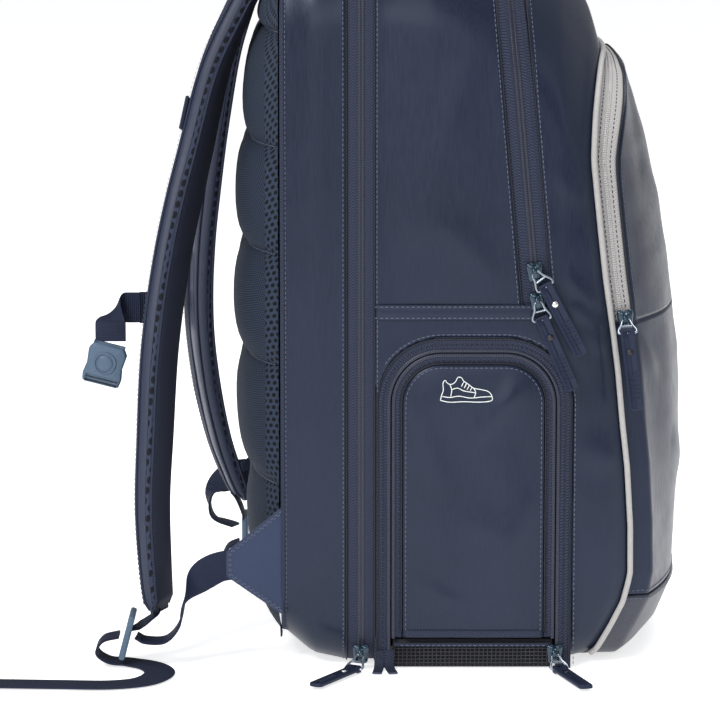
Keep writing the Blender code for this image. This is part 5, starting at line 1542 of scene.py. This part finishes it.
STRAP_CLOTH = strap_mesh()
strap_data = {}
for side, label, spine in ((-1, "near", NEAR_STRAP), (1, "far", FAR_STRAP)):
    points, t, wide, thick, half, deep, share = strap_frames(spine, side)
    strap_data[label] = (points, t, wide, thick, half, deep)
    end_taper = np.clip(np.arange(len(points))[::-1] / 3.0, 0.35,
                        1) * np.clip(0.55 + np.arange(len(points)) / 6.0, 0, 1)
    outer_sign = np.sign(np.mean(thick[:, 0]) * -1)
    grid = []
    for k, (c, s) in enumerate(SHAPE):
        bulge = 1 + 0.03 * np.sin(share * 40 + k)
        row = points + wide * (half * c)[:, None] + thick * (deep * s * end_taper * bulge)[:, None]
        grid.append(row)
    grid = np.array(grid)
    obj = grid_object("strap_" + label, grid, STRAP_CLOTH, (True, False))
    bm = bmesh.new()
    bm.from_mesh(obj.data)
    bm.verts.ensure_lookup_table()
    cols = grid.shape[1]
    for j in (0, cols - 1):
        loop = [bm.verts[i * cols + j] for i in range(len(SHAPE))]
        bm.faces.new(loop if j else loop[::-1])
    bm.to_mesh(obj.data)
    bm.free()
    levels = np.array([s * -outer_sign for _, s in SHAPE])
    zone = np.where(levels > 0.70, 2.0, np.where(levels > 0.02, 1.0, 0.0))
    layer = obj.data.attributes.new("zone", "FLOAT", "POINT")
    layer.data.foreach_set("value", np.repeat(zone, cols))
    subdivide = obj.modifiers.new("smooth", "SUBSURF")
    subdivide.levels = subdivide.render_levels = 1
    show(obj, "strap_" + label, "fabric", "shoulder_strap_" + label)
    for edge_label, c, s in (("in", 0.93, 0.68), ("out", -0.93, 0.68), ("in_b", 0.93, -0.68),
                             ("out_b", -0.93, -0.68)):
        line = (points + wide * (half * c * 1.012)[:, None]
                + thick * (deep * s * end_taper * 1.03)[:, None])[1:-1]
        welt = tube(f"strap_welt_{label}_{edge_label}", line, 0.0009, TAPE, False, 6)
        show(welt, "strap_" + label, "fabric")
    for edge_label, c in (("a", -0.80), ("b", 0.80)):
        s = outer_sign * 0.93
        line = (points + wide * (half * c)[:, None] + thick * (deep * s * end_taper)[:, None])[4:-3]
        sewn = stitches(f"strap_stitch_{label}_{edge_label}", line, (thick * outer_sign)[4:-3], THREAD,
                        lift=0.0004)
        show(sewn, "strap_" + label, "fabric")
    # a run of webbing down the outer face; the bar-tack at its top is not drawn
    line = (points + thick * (deep * outer_sign * 1.08 * end_taper)[:, None])[2:int(len(points) * 0.995)]
    strip = sweep("strap_web_" + label, line, wide[2:2 + len(line)], round_profile(0.0100, 0.0006), WEB)
    show(strip, "strap_" + label, "webbing")
    # the keeper: a bridge of elastic round the strap
    at = int(np.argmin(np.abs(points[:, 2] - 0.350)))
    across = []
    for a in np.linspace(-1.0, 1.0, 25):
        lift = (deep[at] + 0.0016) * (1 - 0.22 * abs(a) ** 8)
        across.append(points[at] + wide[at] * (half[at] * a * 0.985) + thick[at] * (outer_sign * lift))
    keeper = sweep("keeper_" + label, across, t[at], round_profile(0.0110, 0.00075), WEB)
    show(keeper, "strap_" + label, "webbing", "strap_keeper_" + label)
    # the strap's end: a webbing loop that carries the ladder lock
    tip = points[-1]
    lock = Vector((-0.1960, -0.1450, 0.0205)) if side < 0 else Vector((-0.1275, 0.1250, 0.0300))
    lock = np.array(lock)
    pull = [points[-4] + thick[-4] * (outer_sign * deep[-4] * 0.9), tip + thick[-1] * (outer_sign * 0.0035),
            tip + (lock - tip) * 0.45,
            lock + (tip - lock) * 0.16]
    loop = sweep("strap_end_" + label, smooth(pull, 6), (0.0, 1.0, 0.0), round_profile(0.0100, 0.0008), WEB)
    show(loop, "strap_" + label, "webbing")
    root = sweep("strap_root_" + label, smooth([points[0] + [0.004, 0, 0.012], points[1], points[5]], 6),
                 wide[0],
                 round_profile(0.0300, 0.0022), SATIN_STRAP)
    show(root, "strap_" + label, "fabric")

# ------------------------------------------------------------------ wings, webbing, buckles
for side, label in ((-1, "near"), (1, "far")):
    corners = np.array([(-0.0945, 0.106), (-0.1315, 0.076), (-0.1315, 0.060), (-0.0945, 0.034)])
    rows = []
    for t in np.linspace(0, 1, 16):
        a = corners[0] + (corners[1] - corners[0]) * t
        b = corners[3] + (corners[2] - corners[3]) * t
        rows.append([(x, side * (0.1502 + 0.0010 * math.sin(math.pi * t) * math.sin(math.pi * u)), z)
                     for u, (x, z) in ((u, a + (b - a) * u) for u in np.linspace(0, 1, 16))])
    wing = thicken(grid_object("wing_" + label, np.array(rows), WING), 0.0016, 0.0)
    show(wing, "racket_flap", "wing", "strap_wing_" + label)
    for k, inset in enumerate((0.10, 0.16)):
        c = corners.mean(0)
        path = np.array([p + (c - p) * inset for p in corners[[0, 1, 2, 3]]])
        line = resample(np.array([(x, side * 0.1514, z) for x, z in path]), 60)
        show(stitches(f"wing_stitch_{label}_{k}", line, (0, side, 0), THREAD), "racket_flap", "wing")

NEAR_LOWER = (((-0.1385, -0.1500, 0.0650), (-0.5, 0.0, 0.85)),
              ((-0.1500, -0.1505, 0.0570), (-0.4, 0.55, 0.6)),
              ((-0.1585, -0.1500, 0.0440), ACROSS), ((-0.1620, -0.1490, 0.0280), ACROSS),
              ((-0.1710, -0.1475, 0.0175), ACROSS), ((-0.1840, -0.1460, 0.0165), ACROSS),
              ((-0.1905, -0.1455, 0.0195), ACROSS))
FAR_LOWER = (((-0.1390, 0.1500, 0.0670), (-0.4, 0.3, 0.75)), ((-0.1520, 0.1440, 0.0560), (-0.15, 0.9, 0.3)),
             ((-0.1500, 0.1340, 0.0410), ACROSS), ((-0.1345, 0.1290, 0.0350), ACROSS))
for label, spine, end in (("near", NEAR_LOWER, (-0.1905, -0.1455, 0.0195)),
                          ("far", FAR_LOWER, (-0.1345, 0.1290, 0.0350))):
    first = np.array(spine[0][0])
    root = (tuple(first + (0.0130, 0.0, 0.0030)), spine[0][1])
    web, _ = ribbon("lower_web_" + label, (root, *spine))
    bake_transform(web)
    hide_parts("lower_webbing_" + label)

STERNUM_START, CURL = np.array((-0.1890, -0.0920, 0.2270)), 0.0045
slant, rise, toward = unit((-1, 0, -1)), unit((-1, 0, 1)), np.array((0, -1.0, 0))
begin = STERNUM_START + [-0.009, 0, 0]
spine = [(STERNUM_START, (0, 0, 1.0))]
for i in range(7):
    a = math.pi * i / 6
    spot = slant * a + rise * math.sin(a) + toward * (1 - math.cos(a))
    spine.append((begin + spot * CURL, rise * math.cos(a) + toward * math.sin(a) - slant))
last = spine[-1][0]
spine.append((last + [0, 0, -0.011], (1.0, 0, 0)))
web, _ = ribbon("sternum_web_near_run", spine)
for label, start, out in (("near", STERNUM_START, (0.0098, 0.0, 0.0)),
                          ("far", (-0.1710, 0.0800, 0.2380), (0.0120, -0.001, 0.008))):
    here = np.array(start, float)
    wide_way = (0, 0, 1.0) if label == "near" else (0, 1.0, 0)
    stub = sweep("sternum_anchor_" + label,
                 [here + np.array(out), here + np.array(out) * 0.5, here - np.array(out) * 0.04], wide_way,
                 round_profile(0.0104, 0.0012), WEB)
    show(stub, "strap_" + label, "webbing")
show(web, "sternum_near", "webbing", "sternum_web_near")
far_spine = (((-0.1710, 0.0800, 0.2380), ACROSS), ((-0.1750, 0.0810, 0.2320), ACROSS),
             ((-0.1770, 0.0830, 0.2220), ACROSS), ((-0.1770, 0.0850, 0.2120), ACROSS))
web, _ = ribbon("sternum_web_far_run", far_spine)
show(web, "sternum_far", "webbing", "sternum_web_far")


def paint(material, *nodes):
    """Gives a CAD node that keeps its shape its finished material."""
    for name in nodes:
        for obj in bpy.data.objects:
            if obj.name == name and obj.type == "MESH":
                for k in range(max(1, len(obj.material_slots))):
                    if not obj.material_slots:
                        obj.data.materials.append(material)
                    obj.material_slots[k].material = material


paint(PLASTIC, "ladder_lock_near", "ladder_lock_far", "sternum_socket", "sternum_plug")
paint(BOARD, "base_board", "compartment_floor")
paint(LINING, "divider_panel", "laptop_sleeve", "back_board")
for pull in ("main_a", "main_b", "pocket", "racket", "shoe"):
    paint(LACQUER, pull + "_slider")
    paint(STEEL, pull + "_ring")
    paint(RUBBER, pull + "_tab")

# haul handle: a padded loop of webbing
half_loop = [(0.056, 0.492), (0.0555, 0.512), (0.050, 0.532), (0.034, 0.546), (0.012, 0.5505)]
loop = smooth([(-0.1035, y, z) for y, z in [(-y, z) for y, z in half_loop] + half_loop[::-1]], 8)
handle = sweep("handle_loop", loop, (1.0, 0, 0), round_profile(0.0085, 0.0030, steps=4), WEB)
show(handle, "handle", "webbing", "haul_handle")
for k, c in enumerate((-0.0066, 0.0066)):
    t = tangents(loop)
    out = np.cross(t, np.array([1.0, 0, 0]))
    sign = 1 if np.sum(out * (loop - [-0.1035, 0, 0.5])) > 0 else -1
    show(stitches(f"handle_stitch_{k}", loop + [c, 0, 0] + out * sign * 0.0030, out * sign, THREAD),
         "handle", "webbing")


# ------------------------------------------------------------------ seam lines, painted shade in the zip gaps, rivets, ribs and buckles
def seam_and_gap_shade_line(name, line, body_name, slot, radius=0.00055):
    made = tube(name, line, radius, THREAD_DARK_AND_SHADE, False, 5)
    if body_name is None:
        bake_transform(made)
        return made
    return show(made, body_name, slot)


seam_and_gap_shade_line("seam_racket_front", front_tape[-1] + tape_n[-1] * 0.0009, "bag", "tape")
seam_and_gap_shade_line("seam_racket_rear", rear_tape[0] + rear_n[0] * 0.0009, "racket_flap", "tape")
seam_and_gap_shade_line("seam_main_rear", main_rear[0] + n_rear[0] * 0.0009, "bag", "tape")
seam_and_gap_shade_line("seam_main_front", main_front[-1] + n_front[-1] * 0.0009, None, "tape")
# near-black lines in the gaps between the zip tapes: painted shade where the inside would show through
seam_and_gap_shade_line("gap_racket", front_tape[0] - [0.0001, 0, 0], "bag", "tape", 0.00045)
seam_and_gap_shade_line("gap_main", main_rear[-1], "bag", "tape", 0.00045)
seam_and_gap_shade_line("gap_pocket", zip_rear[-1], "main_flap", "grey_tape", 0.00035)
seam_and_gap_shade_line("seam_pocket_rear", zip_rear[0] + zn_rear[0] * 0.0006, "main_flap", "grey_tape", 0.0004)
seam_and_gap_shade_line("seam_pocket_front", zip_front[-1] + zn_front[-1] * 0.0006, "pocket_flap", "grey_tape", 0.0006)
for label, offset, body_name, low in (("outer", 0.0004, "bag", 0.002), ("inner", 0.0163, "door", 0.024)):
    pts = resample(door_line(offset, low), 260)
    seam_and_gap_shade_line("seam_door_" + label, np.stack([pts[:, 0], np.full(len(pts), DOOR_Y - 0.0006), pts[:, 1]], 1),
              body_name,
              "tape")


def axes(wide, ahead):
    wide, ahead = unit(wide), unit(ahead)
    return np.stack([wide, ahead, np.cross(wide, ahead)], 1)


def disc(name, centre, basis, radius, height, material,
         rings=((0.0, 1.0), (0.55, 0.95), (0.85, 0.75), (1.0, 0.35), (1.0, 0.0))):
    """A domed rivet head."""
    sides = 20
    rows = []
    for share, rise in rings:
        rows.append([centre + basis @ np.array([radius * max(share, 0.02) * math.cos(a),
                                                radius * max(share, 0.02)
                                                * math.sin(a), height * rise])
                     for a in np.linspace(0, 2 * math.pi, sides, endpoint=False)])
    return grid_object(name, np.array(rows), material, (False, True))


def plate_loop(points, count=72):
    return resample(np.array(points), count, True)


def plate(name, loop, origin, basis, levels, material):
    """A moulded plate: one outline carried through its thickness, closed at both faces."""
    centre = loop.mean(0)
    rows = []
    for shrink, z in levels:
        q = centre + (loop - centre) * shrink
        rows.append([origin + basis @ np.array([x, y, z]) for x, y in q])
    first = [origin + basis @ np.array([*(centre + (p - centre) * 0.03), levels[0][1]]) for p in loop]
    last = [origin + basis @ np.array([*(centre + (p - centre) * 0.03), levels[-1][1]]) for p in loop]
    return grid_object(name, np.array([first, *rows, last]), material, (False, True))


def hang(degrees):
    a = math.radians(degrees)
    return np.array([math.sin(a), 0.0, -math.cos(a)])


OUT = np.array([0.0, -1.0, 0.0])
PULLS = (("main_a", (0.0684 - 0.092 * 0.0225, -0.155, 0.2595), hang(38), hang(28), RIVET),
         ("main_b", (0.0684, -0.155, 0.2405), hang(14), hang(24), RIVET_DARK),
         ("pocket", (0.1255, -0.1405, 0.2270), unit((0.05, -0.8, -0.6)), unit((0.12, -0.15, -0.985)),
          RIVET_DARK),
         ("racket", (-0.0444, -0.155, 0.0099), unit((-0.4, -0.6928, -0.6)), unit((-0.5, -0.866, 0)), RIVET),
         ("shoe", (0.0810, -0.155, 0.0099), unit((0.24, -0.7632, -0.6)), unit((0.3, -0.954, 0)),
          RIVET_DARK))
for label, spot, ring_way, tab_way, rivet in PULLS:
    lying = abs(float(np.dot(tab_way, OUT))) > 0.5
    axis = unit(np.cross(ring_way, tab_way)) if lying else unit(np.cross(tab_way, OUT))
    pivot = np.array(spot) + OUT * 0.0055 + ring_way * 0.0115
    basis = axes(axis, tab_way)
    if basis[:, 2] @ (OUT if not lying else np.array([0, 0, 1.0])) < 0:
        basis = axes(-axis, tab_way)
    body_name = label + "_tab"
    # the rubber tab: a folded strip with a rounded end, a raised border and plain cross ribs
    length, half, thick = 0.0500, 0.0046, 0.0012
    outline_pts = [(-half, 0.0066), (-half, length - 0.0022), (-half + 0.0007, length - 0.0007),
                   (-half + 0.0022, length),
                   (half - 0.0022, length), (half - 0.0007, length - 0.0007), (half, length - 0.0022),
                   (half, 0.0066),
                   (half, -0.0014), (half - 0.0004, -0.0024), (-half + 0.0004, -0.0024), (-half, -0.0014)]
    loop = resample(np.array(outline_pts), 96, True)
    middle = np.array([0.0, 0.026])
    rows = []
    for inset, z in ((0.0, -thick), (0.0, -thick * 0.5), (0.0, thick * 0.45), (0.0004, thick * 0.85),
                     (0.0010, thick),
                     (0.0014, thick * 0.72)):
        moved = []
        for i, q in enumerate(loop):
            ahead = loop[(i + 1) % 96] - loop[i - 1]
            inward = np.array([ahead[1], -ahead[0]])
            inward = inward / (np.linalg.norm(inward) + 1e-12)
            if inward @ (middle - q) < 0 and q[1] > 0.008:
                inward = -inward
            w = q + inward * inset
            moved.append(pivot + basis @ np.array([w[0], w[1],
                                                   z + (0.0010 if w[1] < 0.004 and z > 0 else 0.0)
                                                   - (0.0010 if w[1] < 0.004 and z < 0 else 0.0)]))
        rows.append(moved)
    centre_row = [pivot + basis @ np.array([q[0] * 0.05, 0.004 + (q[1] - 0.004) * 0.98,
                                            thick * 0.72]) for q in loop]
    rows.append(centre_row)
    low_row = [pivot + basis @ np.array([q[0] * 0.05, 0.004 + (q[1] - 0.004) * 0.98, -thick]) for q in loop]
    tab = grid_object("pull_" + label, np.array([low_row] + rows), RUBBER, (False, True))
    parts = [tab]
    for k in range(7):
        at = 0.0265 + 0.0027 * k
        bar = [pivot + basis @ np.array([x, at + 0.0010 * (x / 0.0026),
                                         thick * 0.80]) for x in np.linspace(-0.0026, 0.0026, 5)]
        parts.append(tube(f"rib_{label}_{k}", bar, 0.00042, RUBBER, False, 6))
    show(join("pull_" + label, parts), body_name, "pull", label + "_tab")
    ring_axis = unit(np.cross(ring_way, tab_way)) if lying else unit(np.cross(ring_way, OUT))
    frame_r = axes(ring_axis, ring_way)
    top = np.array(spot) + OUT * 0.0055
    wire = [(-0.0025, 0.0010), (-0.0019, 0.0), (0.0019, 0.0), (0.0025, 0.0010), (0.0034, 0.0045),
            (0.0057, 0.0090), (0.0059, 0.0108),
            (0.0050, 0.0116), (-0.0050, 0.0116), (-0.0059, 0.0108), (-0.0057, 0.0090), (-0.0034, 0.0045)]
    wires = [tube("ring_" + label,
                  resample(np.array([top + frame_r @ np.array([x, y, 0.0]) for x, y in wire]), 60, True),
                  0.00085, STEEL, True, 8)]
    wires.append(tube("ring_bar_" + label,
                      [top + frame_r @ np.array([x, 0.0058, 0.0]) for x in np.linspace(-0.0040, 0.0040, 6)],
                      0.0008, STEEL, False, 8))
    show(join("ring_" + label, wires), label + "_ring", "ring", label + "_ring")
    along_zip = {"main": unit((-0.092, 0, 1)), "pocket": unit((-0.1, 0, 1))}.get(label.split("_")[0],
                                                                                 np.array([0, 0, 1.0]))
    base_axes = axes(unit(np.cross(along_zip, OUT)), along_zip)
    if base_axes[:, 2] @ OUT < 0:
        base_axes = axes(-unit(np.cross(along_zip, OUT)), along_zip)
    shield = [(-0.0030, -0.0062), (0.0030, -0.0062), (0.0044, -0.0046), (0.0046, -0.0010), (0.0052, 0.0030),
              (0.0048, 0.0058),
              (0.0020, 0.0062), (0.0, 0.0054), (-0.0020, 0.0062), (-0.0048, 0.0058), (-0.0052, 0.0030),
              (-0.0046, -0.0010),
              (-0.0044, -0.0046)]
    body_parts = [plate("slider_" + label,
                        resample(smooth([(x, y, 0) for x, y in shield + shield[:1]], 4)[:-1, :2], 64, True),
                        np.array(spot) + OUT * 0.0019, base_axes,
                        ((0.90, -0.0013), (1.0, -0.0008), (1.0, 0.0004), (0.94, 0.0011), (0.80, 0.0016),
                         (0.50, 0.0019)), LACQUER)]
    arc = [np.array(spot) + OUT * 0.0019 + base_axes @ np.array([0, 0.0046 * math.cos(a),
                                                                 0.0004 + 0.0050 * math.sin(a)])
           for a in np.linspace(0.1, math.pi - 0.1, 22)]
    flat = np.repeat([base_axes[:, 0]], len(arc), 0)
    body_parts.append(sweep("slider_bail_" + label, arc, flat, round_profile(0.0015, 0.0007), LACQUER))
    show(join("slider_" + label, body_parts), label + "_slider", "metal", label + "_slider")
    head = disc("rivet_" + label, pivot + basis @ np.array([0, 0.0125, thick * 0.7]), basis, 0.0021, 0.0011,
                rivet)
    show(head, body_name, "metal")


LEVELS = ((0.90, -0.0037), (0.965, -0.0034), (1.0, -0.0024), (1.0, 0.0024), (0.965, 0.0034), (0.90, 0.0037))
near_end = np.array(spine[-1][0])
ahead = unit((-0.25, 0.0, -0.97))
wide = unit(np.cross((0, 1.0, 0), ahead))
basis = axes(wide, ahead)
if basis[:, 2] @ OUT < 0:
    basis = axes(-wide, ahead)
origin = near_end + ahead * (0.0136 + 0.0020)
outline_pts = [(-0.0098, -0.0130), (0.0098, -0.0130), (0.0128, -0.0085), (0.0118, 0.0010), (0.0130, 0.0080),
               (0.0122, 0.0130),
               (-0.0122, 0.0130), (-0.0130, 0.0080), (-0.0118, 0.0010), (-0.0128, -0.0085)]
socket = plate("socket_body", plate_loop(outline_pts), origin, basis, LEVELS, PLASTIC)
pieces = [socket]
pieces.append(tube("socket_button",
                   [origin + basis @ np.array([0.0068 * math.cos(a), 0.0068 * math.sin(a) - 0.001, 0.0038])
                                     for a in np.linspace(0, 2 * math.pi, 40, endpoint=False)], 0.0007,
                                     PLASTIC, True, 8))
pieces.append(disc("socket_dome", origin + basis @ np.array([0, -0.001, 0.0030]), basis, 0.0056, 0.0014,
                   PLASTIC))
# every second rib is near-black: painted shade in the grooves between the ribs
for k in range(5):
    at = 0.0085 + 0.0011 * k
    pieces.append(tube(f"socket_rib_{k}",
                       [origin + basis @ np.array([x, at, 0.0036]) for x in np.linspace(-0.0110, 0.0110,
                                                                                        6)],
                       0.00045, PAINTED_SHADE if k % 2 else PLASTIC, False, 6))
pieces.append(tube("socket_bar",
                   [origin + basis @ np.array([x, -0.0128, 0.0]) for x in np.linspace(-0.0105, 0.0105, 6)],
                   0.0016, PLASTIC, False, 8))
show(join("socket_body", pieces), "sternum_near", "plastic", "sternum_socket")
